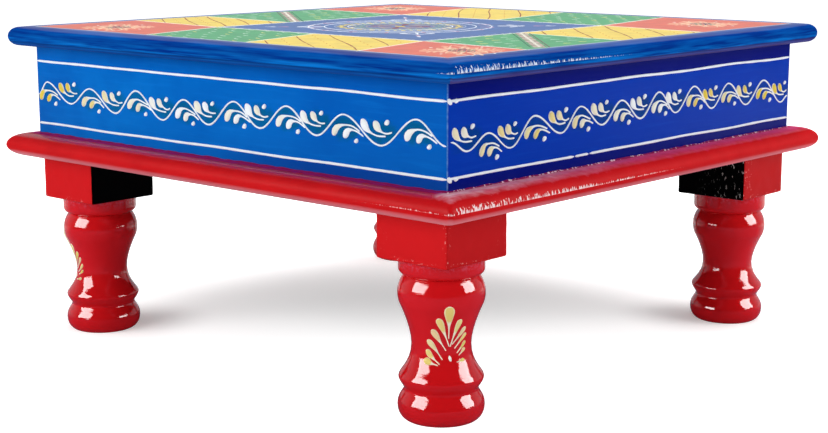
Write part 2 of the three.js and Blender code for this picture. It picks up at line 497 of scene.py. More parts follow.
def addStroke(bm, place, spine, halfWidths, rise, colour, closed=False, core=None):
    tint = bm.verts.layers.float_color["tint"]
    widest = max(halfWidths)
    count = len(spine)
    rings = []
    for index, (u, v) in enumerate(spine):
        before = spine[(index - 1) % count] if closed else spine[max(index - 1, 0)]
        after = spine[(index + 1) % count] if closed else spine[min(index + 1, count - 1)]
        run = math.hypot(after[0] - before[0], after[1] - before[1]) or 1.0
        across = (-(after[1] - before[1]) / run, (after[0] - before[0]) / run)
        half = halfWidths[index]
        crown = rise * math.sqrt(half / widest)
        ring = []
        for side, share in strokeSection:
            point, normal = place(u + across[0] * side * half, v + across[1] * side * half)
            height = -strokeSink if share is None else crown * share
            vert = bm.verts.new(point + normal * height * mm)
            vert[tint] = core if core and abs(side) < 0.7 and half > 0.5 * widest else colour
            ring.append(vert)
        rings.append(ring)
    bridge(bm, rings, closed)


def curveThrough(points, cells):
    # a smooth line through given points
    ends = [points[0], *points, points[-1]]
    line = []
    for four in zip(ends, ends[1:], ends[2:], ends[3:]):
        for step in range(cells):
            t = step / cells
            pulls = (
                -t + 2 * t ** 2 - t ** 3,
                2 - 5 * t ** 2 + 3 * t ** 3,
                t + 4 * t ** 2 - 3 * t ** 3,
                t ** 3 - t ** 2,
            )
            line.append(tuple(sum(pull * c for pull, c in zip(pulls, axis)) / 2 for axis in zip(*four)))
    line.append(tuple(points[-1]))
    return line


def pointsAlong(line, distances):
    # the points that lie these distances along a line
    found = []
    at = 0
    passed = 0.0
    for distance in distances:
        run = math.dist(line[at], line[at + 1])
        while passed + run < distance and at < len(line) - 2:
            passed += run
            at += 1
            run = math.dist(line[at], line[at + 1])
        share = (distance - passed) / run if run else 0.0
        found.append(blend(line[at], line[at + 1], share))
    return found


def lengthOf(line):
    return sum(math.dist(a, b) for a, b in zip(line, line[1:]))


# A teardrop's head and tail are so many of their half widths long. The rest are counts of rings
teardrop = {
    "headLength": 1.25,
    "tailLength": 1.2,
    "curveCells": 6,
    "headSteps": 5,
    "bodySteps": 9,
    "tailSteps": 3,
}


def addDrop(bm, place, points, headHalf, tailHalf, rise, colour, neckShare=0.55, core=None):
    # a teardrop: a round head where the cone was pressed down, drawn out into a thin tail
    line = curveThrough(points, teardrop["curveCells"])
    length = lengthOf(line)
    head = teardrop["headLength"] * headHalf
    tail = teardrop["tailLength"] * tailHalf
    headTurns = [math.pi / 2 * step / teardrop["headSteps"] for step in range(teardrop["headSteps"] + 1)]
    tailTurns = [math.pi / 2 * step / teardrop["tailSteps"] for step in range(1, teardrop["tailSteps"] + 1)]
    distances = [head * (1 - math.cos(turn)) for turn in headTurns]
    for step in range(1, teardrop["bodySteps"] + 1):
        distances.append(mixed(head, length - tail, step / teardrop["bodySteps"]))
    distances += [length - tail * (1 - math.sin(turn)) for turn in tailTurns]
    halfWidths = []
    for distance in distances:
        if distance < head:
            half = headHalf * math.sqrt(max(0.02, 1 - (1 - distance / head) ** 2))
        else:
            share = (distance - head) / (length - head)
            half = mixed(headHalf, tailHalf, smoothStep(0.0, neckShare, share))
        if distance > length - tail:
            half *= math.sqrt(max(0.05, 1 - ((distance - length + tail) / tail) ** 2))
        halfWidths.append(half)
    addStroke(bm, place, pointsAlong(line, distances), halfWidths, rise, colour, core=core)


def addDot(bm, place, centre, halfLength, halfWidth, rise, colour, turn=0.0):
    steps = [math.cos(math.pi * step / 8) for step in range(9)]
    aim = (math.cos(turn), math.sin(turn))
    spine = [(centre[0] - aim[0] * s * halfLength, centre[1] - aim[1] * s * halfLength) for s in steps]
    halfWidths = [halfWidth * math.sqrt(max(0.03, 1 - s * s)) for s in steps]
    addStroke(bm, place, spine, halfWidths, rise, colour)


def addLine(bm, place, points, half, rise, colour, wander=0.12, layer=0.0, closed=False):
    # a long drawn line whose width swells and thins a little
    halfWidths = []
    for index, (u, v) in enumerate(points):
        swell = noise.noise((u / 6 + layer, v / 6, layer)) * wander
        if not closed:
            fromEnd = min(index, len(points) - 1 - index)
            swell -= 0.6 if fromEnd == 0 else 0.0
        halfWidths.append(half * max(0.25, 1 + swell))
    addStroke(bm, place, points, halfWidths, rise, colour, closed=closed)


def jitter(points, amount):
    return [(u + random.uniform(-amount, amount), v + random.uniform(-amount, amount)) for u, v in points]


# The painted border on the four sides of the box. Places run from the left end of a side, seen from outside,
# and heights from the box's foot. The vine is listed by its crests and troughs, as the painter placed them
border = {
    "lineHeights": (5.4, 37.4),
    "lineHalf": 0.64,
    "vineHalf": 0.43,
    "rise": 0.4,
    "vineCell": 1.3,
    "pitch": 35.0,
    "crestDrops": (
        {
            "points": ((-5.6, -9.4), (-4.6, -6.6), (-2.4, -4.9), (0.8, -4.3), (4.8, -4.8), (8.6, -6.4)),
            "head": 1.9,
        },
        {"points": ((0.4, -9.8), (1.6, -7.4), (3.8, -6.4), (7.4, -6.9), (11.0, -8.7)), "head": 1.7},
    ),
    "crestDot": (6.9, -10.7),
    "troughDrops": (
        {"points": ((-8.8, 10.2), (-7.4, 7.4), (-5.0, 5.2), (-1.4, 4.1), (2.8, 4.1)), "head": 2.25},
        {"points": ((-2.9, 10.2), (-1.5, 7.6), (0.8, 6.0), (3.2, 5.4), (5.6, 5.9)), "head": 2.0},
    ),
    "troughDot": (3.2, 10.0),
    "tailHalf": 0.42,
    "neckShare": 0.42,
    "dotHalf": 1.2,
    "pool": {"aside": 0.8, "above": 5.0, "halfLong": 9.4, "halfTall": 5.8, "ragged": (3.0, 0.25)},
}
frontVine = (
    (0.8, 20.0), (8.5, 26.9), (28.0, 17.1), (44.0, 25.8), (64.0, 15.2), (80.5, 27.4), (100.0, 14.9),
    (116.0, 25.8), (133.0, 15.5), (151.0, 27.6), (168.0, 16.9), (185.6, 28.2), (204.0, 16.9), (220.6, 27.4),
    (242.0, 16.0), (262.4, 28.7), (278.3, 19.0),
)
rightVine = (
    (2.0, 20.5), (12.5, 15.8), (26.0, 22.0), (41.0, 14.2), (57.5, 26.3), (77.0, 16.9), (91.0, 27.4),
    (108.0, 17.6), (123.0, 27.4), (139.0, 17.6), (154.0, 28.7), (169.0, 17.6), (185.0, 29.0), (202.0, 16.8),
    (217.0, 28.0), (235.0, 15.8), (252.0, 26.9), (271.0, 14.0), (277.5, 17.1),
)
frontGold = ((0, 1.0), (22, 0.9), (45, 0.45), (85, 0.15), (279, 0.05))
rightGold = (
    (0, 0.1), (32, 0.45), (75, 0.55), (100, 0.2), (165, 0.1), (195, 0.7), (225, 0.35), (262, 0.95),
    (279, 0.9),
)
sides = {
    "front": {"out": (0, -1), "along": (1, 0), "vine": frontVine, "gold": frontGold},
    "right": {"out": (1, 0), "along": (0, 1), "vine": rightVine, "gold": rightGold},
    "back": {"out": (0, 1), "along": (-1, 0), "vine": frontVine, "gold": frontGold},
    "left": {"out": (-1, 0), "along": (0, -1), "vine": rightVine, "gold": rightGold},
}
# Where a line was lifted for a moment, as which line and where, and the thick blobs at the lines' start
lineGaps = {"right": ((0, 87.0), (0, 98.0)), "back": ((0, 160.0),), "left": ((1, 74.0),)}
lineBlobs = {"right": ((1.3, 1.2), (5.4, 1.05)), "back": ((2.0, 1.1),)}


def placeOnSide(side):
    out = Vector((*side["out"], 0))
    along = Vector((*side["along"], 0))

    def place(u, height):
        point = out * boxHalf + along * (u * mm - boxHalf) + Vector((0, 0, boxFoot + height * mm))
        return point, out

    return place


def vineHeight(vine, u):
    # between a crest and a trough the vine follows half a cosine wave
    if u <= vine[0][0]:
        return vine[0][1]
    for (lowPlace, lowHeight), (highPlace, highHeight) in zip(vine, vine[1:]):
        if u <= highPlace:
            turn = math.pi * (u - lowPlace) / (highPlace - lowPlace)
            return mixed(lowHeight, highHeight, (1 - math.cos(turn)) / 2)
    return vine[-1][1]


def washCover(point):
    # how much green wash lies here: an oval pool inside each loop of the vine, up to the vine itself
    side = max(sides.values(), key=lambda s: point.x * s["out"][0] + point.y * s["out"][1])
    u = (point.x * side["along"][0] + point.y * side["along"][1] + boxHalf) / mm
    height = (point.z - boxFoot) / mm
    stops = side["vine"]
    vine = vineHeight(stops, u)
    pool = border["pool"]
    grain, amount = pool["ragged"]
    ragged = noise.noise((u / grain, height / grain, 5.0)) * amount
    cover = 0.0
    for index in range(1, len(stops) - 1):
        centre, level = stops[index]
        inward = -1 if level > stops[index - 1][1] else 1
        acrossPool = (u - centre - pool["aside"]) / pool["halfLong"]
        upPool = (height - level - inward * pool["above"]) / pool["halfTall"]
        inside = smoothStep(-0.3, 0.9, (height - vine) * inward)
        cover = max(cover, smoothStep(1.12, 0.74, math.hypot(acrossPool, upPool) + ragged) * inside)
    return cover * mixed(1.0, 0.45, valueAt(side["gold"], u))


def addLeaves(bm, place, vine, gold):
    # two drops and a dot inside each loop of the vine. Where more gold was used, only the heads show it
    white, golden = tints["white"], tints["gold"]
    for index in range(1, len(vine) - 1):
        centre, height = vine[index]
        kind = "crest" if height > vine[index - 1][1] else "trough"
        reach = vine[index + 1][0] - vine[index - 1][0]
        if index in (1, len(vine) - 2):
            reach = border["pitch"]
        stretch = min(1.25, max(0.85, reach / border["pitch"]))
        share = valueAt(gold, centre)
        rise = 1.6 * border["rise"]
        for drop in border[kind + "Drops"]:
            points = [(centre + u * stretch, height + v) for u, v in jitter(drop["points"], 0.25)]
            amount = min(1.0, max(0.0, 1.6 * share + random.uniform(-0.25, 0.15)))
            core = blend(white, golden, amount)
            rim = blend(white, golden, 0.15 * amount)
            head = drop["head"] * random.uniform(0.92, 1.08)
            addDrop(bm, place, points, head, border["tailHalf"], rise, rim, border["neckShare"], core)
        u, v = border[kind + "Dot"]
        half = border["dotHalf"] * random.uniform(0.9, 1.1)
        spot = (centre + u * stretch, height + v)
        addDot(bm, place, spot, half * 1.12, half * 0.92, border["rise"] * 1.5, white, turn=0.6)


def addBorderLines(bm, place, gaps, blobs, layer):
    # the two long lines, lifted for a moment at the gaps, with thick blobs where the cone was set down
    inset, lift, cell = 0.4, 0.5, 2.2
    for level, lineHeight in enumerate(border["lineHeights"]):
        stops = [inset] + [u for lineIndex, u in gaps if lineIndex == level] + [boxWide - inset]
        for start, end in zip(stops, stops[1:]):
            start += lift if start > inset else 0.0
            end -= lift if end < boxWide - inset else 0.0
            count = max(8, round((end - start) / cell))
            points = []
            for step in range(count + 1):
                u = mixed(start, end, step / count)
                sway = noise.noise((u / 40, layer, level)) * 0.4
                points.append((u, lineHeight + sway))
            addLine(bm, place, points, border["lineHalf"], border["rise"], tints["white"], 0.16, layer)
        for u, half in blobs:
            spot = (u, lineHeight - 0.3)
            addDot(bm, place, spot, half * 1.3, half, border["rise"] * 1.4, tints["white"], turn=layer + u)


def makeBorder(name, side, layer):
    place = placeOnSide(side)
    bm = newStrokes()
    vine = side["vine"]
    start, end = vine[0][0], vine[-1][0]
    count = round((end - start) / border["vineCell"])
    stations = [mixed(start, end, step / count) for step in range(count + 1)]
    points = [(u, vineHeight(vine, u)) for u in stations]
    addLine(bm, place, points, border["vineHalf"], border["rise"], tints["white"], 0.25, layer)
    addLeaves(bm, place, vine, side["gold"])
    strokePiece("vine_" + name, bm)
    bm = newStrokes()
    addBorderLines(bm, place, lineGaps.get(name, ()), lineBlobs.get(name, ()), layer)
    strokePiece("border_lines_" + name, bm)


# Box boards: the front and back run the full width, the side boards fit between them
boxBoards = {"arris": 0.6, "arrisSteps": 3, "cell": 1.5, "unevenness": 0.14, "waveSize": 45.0}


def stripShadeCover(onFace, u, height):
    # painted shade under the top board and by the foot: darker strips outside the two lines, on the front
    # only near the corner
    low, high = border["lineHeights"]
    if low < height < high + 0.3:
        return 0.0
    if not onFace:
        return 1.0
    return 0.15 if height > high else smoothStep(110.0, 215.0, u)


def makeBoxBoard(name, side):
    # the columns go along the board, each so deep below its outer face. Full boards have softened ends
    thickness = (boxHigh.y - boxLow.y) / mm
    isFull = name in ("front", "back")
    arris = boxBoards["arris"] if isFull else 0.0
    start = 0.0 if isFull else thickness
    end = boxWide - start
    leftEnd = [(0.0, thickness)]
    if isFull:
        leftEnd += [(0.0, 2 * arris), (0.0, arris)]
        for step in range(1, boxBoards["arrisSteps"]):
            turn = math.pi / 2 * step / boxBoards["arrisSteps"]
            leftEnd.append((arris * (1 - math.cos(turn)), arris * (1 - math.sin(turn))))
    count = round((end - start - 2 * arris) / boxBoards["cell"])
    columns = [(start + inset, depth) for inset, depth in leftEnd]
    columns += straight((start + arris, 0.0), (end - arris, 0.0), count)
    columns += [(end - inset, depth) for inset, depth in reversed(leftEnd)]
    place = placeOnSide(side)
    rows = round(boxRise / mm / boxBoards["cell"])
    bm = bmesh.new()
    wash, wornAndSheen, stripShade = (bm.verts.layers.float.new(layer) for layer in ("wash", "wornAndSheen", "stripShade"))
    grid = []
    for u, depth in columns:
        column = []
        for row in range(rows + 1):
            height = boxRise / mm * row / rows
            point, out = place(u, height)
            point = point - out * depth * mm
            dent = abs(drift(point, boxBoards["waveSize"], boxBoards["unevenness"]))
            if depth < thickness and 0 < row < rows:
                point = point - out * dent
            vert = bm.verts.new(point)
            vert[wash] = washCover(point)
            # the arrises: wear, and partly a painted highlight
            vert[wornAndSheen] = 1.0 if 0 < depth < arris else 0.0
            # painted shade outside the two lines
            vert[stripShade] = stripShadeCover(depth < 2 * arris, u, height)
            column.append(vert)
        grid.append(column)
    for left, right in zip(grid, grid[1:]):
        for row in range(rows):
            bm.faces.new((left[row], right[row], right[row + 1], left[row + 1]))
    bm.faces.new([column[0] for column in grid])
    bm.faces.new([column[-1] for column in grid])
    bm.faces.new(grid[0] + grid[-1][::-1])
    for face in bm.faces:
        face.normal_update()
        # faces towards the sides take the deeper blue, a painted shade
        face.material_index = 1 if abs(face.normal.x) > 0.75 else 0
    newPiece("box_board_" + name, bm, [litFrontBlueEnamel, shadedSideBlueEnamel], ["apron_" + name])


for layer, (sideName, sideSet) in enumerate(sides.items()):
    makeBoxBoard(sideName, sideSet)
    makeBorder(sideName, sideSet, layer * 7.3)
print("box and its borders painted")


# Rounded boards: a stack of square rings whose corners are a little rounded
ringSteps = {"round": 18, "crown": 8, "corner": 5, "edge": 110}
unevenness = {"longSize": 30.0, "longDepth": 0.3, "shortSize": 6.0, "shortDepth": 0.075}
flatSlopes = (0.86, 0.985)  # heights of the normal from which a board starts to count as flat, and is flat


def squareRing(half, radius, cornerSteps, edgeCells):
    # the points of a square with rounded corners, anticlockwise from the end of its right side
    reach = half - radius
    arcs = []
    for corner, (signX, signY) in enumerate(((1, 1), (-1, 1), (-1, -1), (1, -1))):
        turns = [math.pi / 2 * (corner + step / cornerSteps) for step in range(cornerSteps + 1)]
        arc = [(radius * math.cos(turn), radius * math.sin(turn)) for turn in turns]
        arcs.append(shifted(arc, (signX * reach, signY * reach)))
    points = []
    for arc, ahead in zip(arcs, arcs[1:] + arcs[:1]):
        points += arc + straight(arc[-1], ahead[0], edgeCells)[1:-1]
    return points


def addRings(bm, stack, closed=False):
    made = [[bm.verts.new(point) for point in ring] for ring in stack]
    bridge(bm, made, closed)
    return made


def roundedBoard(half, foot, head, shape, layer):
    # rings from the middle of the underside round the edge to the middle of the top, in metres. A crown of a
    # width and a drop softens the way onto the top along the front and the right
    rounding, crownWidth, crownDrop = (shape[size] * mm for size in ("rounding", "crownWidth", "crownDrop"))
    middleFrom = rounding * 2.5
    stations = [(middleFrom, 0.0, 0.0)]
    for step in range(ringSteps["round"] + 1):
        turn = math.pi * (step / ringSteps["round"] - 0.5)
        stations.append((rounding * (1 - math.cos(turn)), (1 + math.sin(turn)) / 2, 0.0))
    for step in range(1, ringSteps["crown"] + 1):
        crossed = step / ringSteps["crown"]
        stations.append((rounding + crownWidth * crossed, 1.0, crossed))
    stations.append((middleFrom + crownWidth, 1.0, 1.0))
    stack = []
    for inset, climb, crossed in stations:
        ring = []
        for x, y in squareRing(half - inset, shape["corner"] * mm, ringSteps["corner"], ringSteps["edge"]):
            drop = crownDrop * smoothStep(-0.05, 0.15, (x - y) / (2 * half))
            point = Vector((x, y, mixed(foot, head - drop, climb) + drop * (1 - (1 - crossed) ** 2)))
            dent = abs(drift(point, unevenness["longSize"], unevenness["longDepth"], layer))
            dent += abs(drift(point, unevenness["shortSize"], unevenness["shortDepth"], layer))
            if inset <= rounding:
                point -= Vector((x, y, 0)).normalized() * dent
            ring.append(point)
        stack.append(ring)
    bm = bmesh.new()
    addRings(bm, stack)
    return bm


# Top board: blue enamel edge, and a top quartered in red, green and yellow about a slate-blue square
topFinish = {
    "reliefDepth": 0.35,
    "rounding": 4.25,
    "corner": 1.6,
    "crownWidth": 6.5,
    "crownDrop": 0.8,
    "fieldHalf": 140.0,
    "squareHalf": 70.0,
    "paintWander": 0.5,
    "wandersPerMetre": 90.0,
    "red": "#E65E2E",
    "yellow": "#FADA3C",
    "green": "#2FA65A",
    "slate": "#1C5CA4",
    "cloudSize": 9.0,
    "cloudTones": (0.86, 1.1),
    "edge": "#033084",
    "edgePale": "#0A76D2",
    "streakSize": 1.5,
    "edgeLine": "#021E58",
    "edgeLineAt": (-0.52, 0.09),
    "edgeLineCover": 0.7,
    "under": "#1450A0",
    "bounceFromRedBoard": "#544684",
    "bounceCover": 0.85,
    "combGlint": "#DCE8FA",
    "combFoot": 4.35,
    "combReach": (9.0, 130.0),
    "ridgeSize": 0.8,
    "ridgeDepth": 0.06,
    "waveDepth": 0.05,
    "sheenWidth": 3.5,
    "roughness": (0.5, 0.3),
    "gloss": {"field": 0.4, "crown": 0.06, "edgeShare": 0.05},
}

# The painter set the square by eye: it sits off the board's middle, and the lines from its corners lean. The
# leans are shares of the distance past the square, at the front, back, right and left. On the left side the
# green panel is the wider one
layout = {"middle": (5.0, -11.0), "lean": (0.25, -0.18, -0.1, 0.08), "leftSplit": 20.0}


def boardPlace(u, v):
    # from the painter's own grid to the board, in millimetres. Each round brings the lean closer
    middleX, middleY = layout["middle"]
    front, back, right, left = layout["lean"]
    square = topFinish["squareHalf"]
    x, y = u + middleX, v + middleY
    for _ in range(3):
        leanX = front * max(0, middleY - square - y) + back * max(0, y - middleY - square)
        leanY = right * max(0, x - middleX - square) + left * max(0, middleX - square - x)
        x, y = u + middleX + leanX, v + middleY + leanY
    return x, y


def squareReach(add, x, y):
    # the farther of two distances from the middle
    absX, absY = (add("Math", (side,), operation="ABSOLUTE") for side in (x, y))
    return add("Math", (absX, absY), operation="MAXIMUM")


def uprightness(add):
    # the height of the surface normal: one on top, minus one beneath
    face = add("NewGeometry", output="Normal")
    return add("SeparateXYZ", (face,), output="Z")


def boardFilm(add, finish, upright):
    # how flat a board lies here, and its bumps: slow waves, and saw and sanding marks across the edge. The
    # finish of a board has its roughness on the edge and on the flat
    flat = add("MapRange", (upright, *flatSlopes))
    marks = mottle(add, finish["ridgeSize"], (1, 1, 9), detail=2.0, roughness=0.7)
    sloping = add("Math", (1.0, flat), operation="SUBTRACT")
    ridges = add("Math", (marks, sloping), operation="MULTIPLY")
    return flat, [(mottle(add, enamel["waveSize"]), finish["waveDepth"]), (ridges, finish["ridgeDepth"])]


# Along the near edges a comb of painted highlight stands on the edge: glints on saw marks across it, drawn
# as pale paint, tall and dense by the corner and thinning out. A finish says how far it goes along the front
# and the right. Here and below, levels are where in the noise a mark starts and is full: the higher, the
# rarer
comb = {
    "faceDepth": 2.5,
    "start": 4.0,
    "fullUntil": 2.0,
    "toothSize": 0.72,
    "toothLevels": (0.46, 0.62),
    "gapSize": 2.6,
    "gapLevels": (0.42, 0.52),
    "frontShare": 0.3,
    "least": 0.3,
    "most": 2.9,
    "softness": 0.5,
    "cover": 0.92,
}


def glintCombCover(add, high, foot, finish):
    # how much painted highlight shows on the board with this high corner, from this height of its edge
    # upwards
    frontReach, rightReach = (reach * mm for reach in finish["combReach"])
    place = add("TexCoord", output="Object")
    x, y, z = (add("SeparateXYZ", (place,), output=axis) for axis in "XYZ")
    half = high.x
    face = half - comb["faceDepth"] * mm
    onRight = add("Math", (x, face), operation="GREATER_THAN")
    started = add("Math", (y, -half + comb["start"] * mm), operation="GREATER_THAN")
    onRight = add("Math", (onRight, started), operation="MULTIPLY")
    alongRight = add("MapRange", (y, -half + comb["fullUntil"] * mm, -half + rightReach, 1.0, 0.0))
    right = add("Math", (onRight, alongRight), operation="MULTIPLY")
    onFront = add("Math", (y, -face), operation="LESS_THAN")
    alongFront = add("MapRange", (x, half - frontReach, half, 0.0, comb["frontShare"]))
    front = add("Math", (onFront, alongFront), operation="MULTIPLY")
    share = add("Math", (right, front), operation="MAXIMUM")
    teeth = mottle(add, comb["toothSize"], (1, 1, 12), detail=1.0)
    teeth = add("MapRange", (teeth, *comb["toothLevels"]))
    teeth = add("Math", (teeth, share), operation="MULTIPLY")
    tall = add("Math", (teeth, comb["most"] * mm), operation="MULTIPLY")
    gaps = add("MapRange", (mottle(add, comb["gapSize"], detail=2.0), *comb["gapLevels"]))
    dense = add("MapRange", (share, 0.0, 0.5))
    stems = add("Math", (gaps, dense), operation="MULTIPLY")
    height = add("Math", (stems, comb["least"] * mm, tall), operation="MULTIPLY_ADD")
    above = add("Math", (z, foot), operation="SUBTRACT")
    below = add("Math", (height, above), operation="SUBTRACT")
    cover = add("MapRange", (below, 0.0, comb["softness"] * mm, 0.0, comb["cover"]))
    isAbove = add("Math", (above, 0.0), operation="GREATER_THAN")
    return add("Math", (cover, isAbove), operation="MULTIPLY")


def quarteredField(add, boardX, boardY):
    # the colours of the top: yellow and green panels on the sides, red corners and the slate square
    square = topFinish["squareHalf"] * mm
    fromX, fromY = (
        add("Math", (place, middle * mm), operation="SUBTRACT")
        for place, middle in zip((boardX, boardY), layout["middle"])
    )

    def straightened(place, across, leans):
        # takes out the lean that a place has past the square, on either side of it
        for sign, share in leans:
            past = add("Math", (across, sign, -square), operation="MULTIPLY_ADD")
            past = add("Math", (past, 0.0), operation="MAXIMUM")
            shift = add("Math", (past, share), operation="MULTIPLY")
            place = add("Math", (place, shift), operation="SUBTRACT")
        return place

    front, back, right, left = layout["lean"]
    x = straightened(fromX, fromY, ((-1.0, front), (1.0, back)))
    y = straightened(fromY, fromX, ((1.0, right), (-1.0, left)))
    absX, absY = (add("Math", (place,), operation="ABSOLUTE") for place in (x, y))
    larger = add("Math", (absX, absY), operation="MAXIMUM")
    smaller = add("Math", (absX, absY), operation="MINIMUM")
    onLeft = add("Math", (x, -square), operation="LESS_THAN")
    fromSplit = add("Math", (onLeft, layout["leftSplit"] * mm, y), operation="MULTIPLY_ADD")
    product = add("Math", (x, fromSplit), operation="MULTIPLY")
    sameSign = add("Math", (product, 0.0), operation="GREATER_THAN")
    onSideBand = add("Math", (absX, square), operation="GREATER_THAN")
    colour = layCoats(add, topFinish["green"], [
        (add("Math", (sameSign, onSideBand, 0.5), operation="COMPARE"), topFinish["yellow"]),
        (add("Math", (smaller, square), operation="GREATER_THAN"), topFinish["red"]),
        (add("Math", (larger, square), operation="LESS_THAN"), topFinish["slate"]),
    ])
    clouds = mottle(add, topFinish["cloudSize"], detail=5.0)
    value = add("MapRange", (clouds, 0.3, 0.7, *topFinish["cloudTones"]))
    return add("HueSaturation", {"Color": colour, "Value": value})


def makeTopEnamel():
    material, add = newMaterial("quarteredTopEnamel")
    place = add("TexCoord", output="Object")
    wander = {"Vector": place, "Scale": topFinish["wandersPerMetre"], "Detail": 2.0}
    wander = add("TexNoise", wander, output="Color")
    centred = add("VectorMath", (wander, (0.5, 0.5, 0.5)), operation="SUBTRACT")
    slack = add("VectorMath", (centred, 2 * topFinish["paintWander"] * mm), operation="SCALE")
    moved = add("VectorMath", (place, slack), operation="ADD")
    boardX, boardY = (add("SeparateXYZ", (moved,), output=axis) for axis in "XY")
    upright = uprightness(add)
    # the edge: paler streaks, more of them low down as a painted reflection of the bright floor, and a dark
    # line along its middle. Beneath lies painted bounce light: a lighter blue, purple from the red board on
    # the right and back
    streaks = mottle(add, topFinish["streakSize"], (22, 22, 1), detail=2.0)
    streaks = add("MapRange", (streaks, 0.35, 0.7))
    lower = add("MapRange", (upright, 0.35, -0.25, 0.4, 1.0))
    line = add("Math", (upright, *topFinish["edgeLineAt"]), operation="COMPARE")
    diagonal = add("Math", (boardX, boardY), operation="ADD")
    onRight = add("Math", (diagonal, 0.0), operation="GREATER_THAN")
    under = layCoats(add, topFinish["under"], [(onRight, topFinish["bounceFromRedBoard"])])
    edge = layCoats(add, topFinish["edge"], [
        (add("Math", (streaks, lower), operation="MULTIPLY"), topFinish["edgePale"]),
        (add("Math", (line, topFinish["edgeLineCover"]), operation="MULTIPLY"), topFinish["edgeLine"]),
        (add("MapRange", (upright, -0.35, -0.8, 0.0, topFinish["bounceCover"])), under),
    ])
    fromMiddle = squareReach(add, boardX, boardY)
    rim = topFinish["fieldHalf"] * mm
    # the comb of pale paint over the edge is a painted highlight
    painted = layCoats(add, quarteredField(add, boardX, boardY), [
        (add("Math", (fromMiddle, rim), operation="GREATER_THAN"), edge),
        (glintCombCover(add, topHigh, topLow.z + topFinish["combFoot"] * mm, topFinish), topFinish["combGlint"]),
    ])
    flat, bumps = boardFilm(add, topFinish, upright)
    rough = add("MapRange", (flat, 0.0, 0.5, *topFinish["roughness"]))
    gloss = topFinish["gloss"]
    past = rim + topFinish["sheenWidth"] * mm
    sheen = add("MapRange", (fromMiddle, rim, past, gloss["field"], gloss["crown"]))
    level = add("MapRange", (flat, 0.0, 0.5, gloss["edgeShare"], 1.0))
    sheen = add("Math", (level, sheen), operation="MULTIPLY")
    return enamelShader(material, add, painted, rough, bumps, sheen)


topEnamel = makeTopEnamel()


def makeTopBoard():
    head = topHigh.z - topFinish["reliefDepth"] * mm
    bm = roundedBoard(topHigh.x, topLow.z, head, topFinish, 3.0)
    newPiece("painted_top", bm, [topEnamel], ["top_board"])
    return head


topFace = makeTopBoard()


def placeOnBoard(x, y):
    return Vector((x * mm, y * mm, topFace)), Vector((0, 0, 1))


def turned(quarter, u, v):
    # the same place a number of quarter turns round the table
    cosine, sine = ((1, 0), (0, 1), (-1, 0), (0, -1))[quarter]
    return u * cosine - v * sine, u * sine + v * cosine


def turnedPlace(quarter):
    def place(u, v):
        return placeOnBoard(*boardPlace(*turned(quarter, u, v)))

    return place


# The pattern on the top, painted a quarter at a time, in millimetres from the middle of the slate square
topPattern = {
    "rise": 0.12,
    "lineCell": 2.5,
    "edgeDots": 24,
    "rimInset": 0.6,
    "rustLeans": (-43.5, -43.5, -58.5, -31.0),
    "rustPitches": (19.0, 19.0, 19.0, 14.0),
    "rustHalf": 0.5,
    "dashPitch": 9.0,
    "leafPitch": 11.5,
    "leafRow": 8.6,
    "bandHalf": 4.4,
    "crossPitch": 5.0,
    "flowerReach": 18.0,
    "flowerShift": ((7.0, 6.0), (8.4, -8.4), (0.0, 0.0), (8.4, -8.4)),
    "eyeRing": 5.4,
    "eyeHalf": 1.9,
    "swirlInset": 28.0,
    "mandalaShift": (-4.2, -3.8),
    "ringRadii": {"outer": 47.0, "line": 39.0, "gold": 30.5, "inner": 17.5},
    "ringCounts": {"leaves": 30, "drops": 32, "beads": 24, "petals": 12},
}


def anglesOf(count):
    # the angles of so many things set evenly round a ring
    return [2 * math.pi * k / count for k in range(count)]


def ringPoints(radius, count):
    return [(radius * math.cos(angle), radius * math.sin(angle)) for angle in anglesOf(count)]


def radial(angle, *places):
    # places of distance and aside, turned to this angle
    cosine, sine = math.cos(angle), math.sin(angle)
    return [(r * cosine - s * sine, r * sine + s * cosine) for r, s in places]


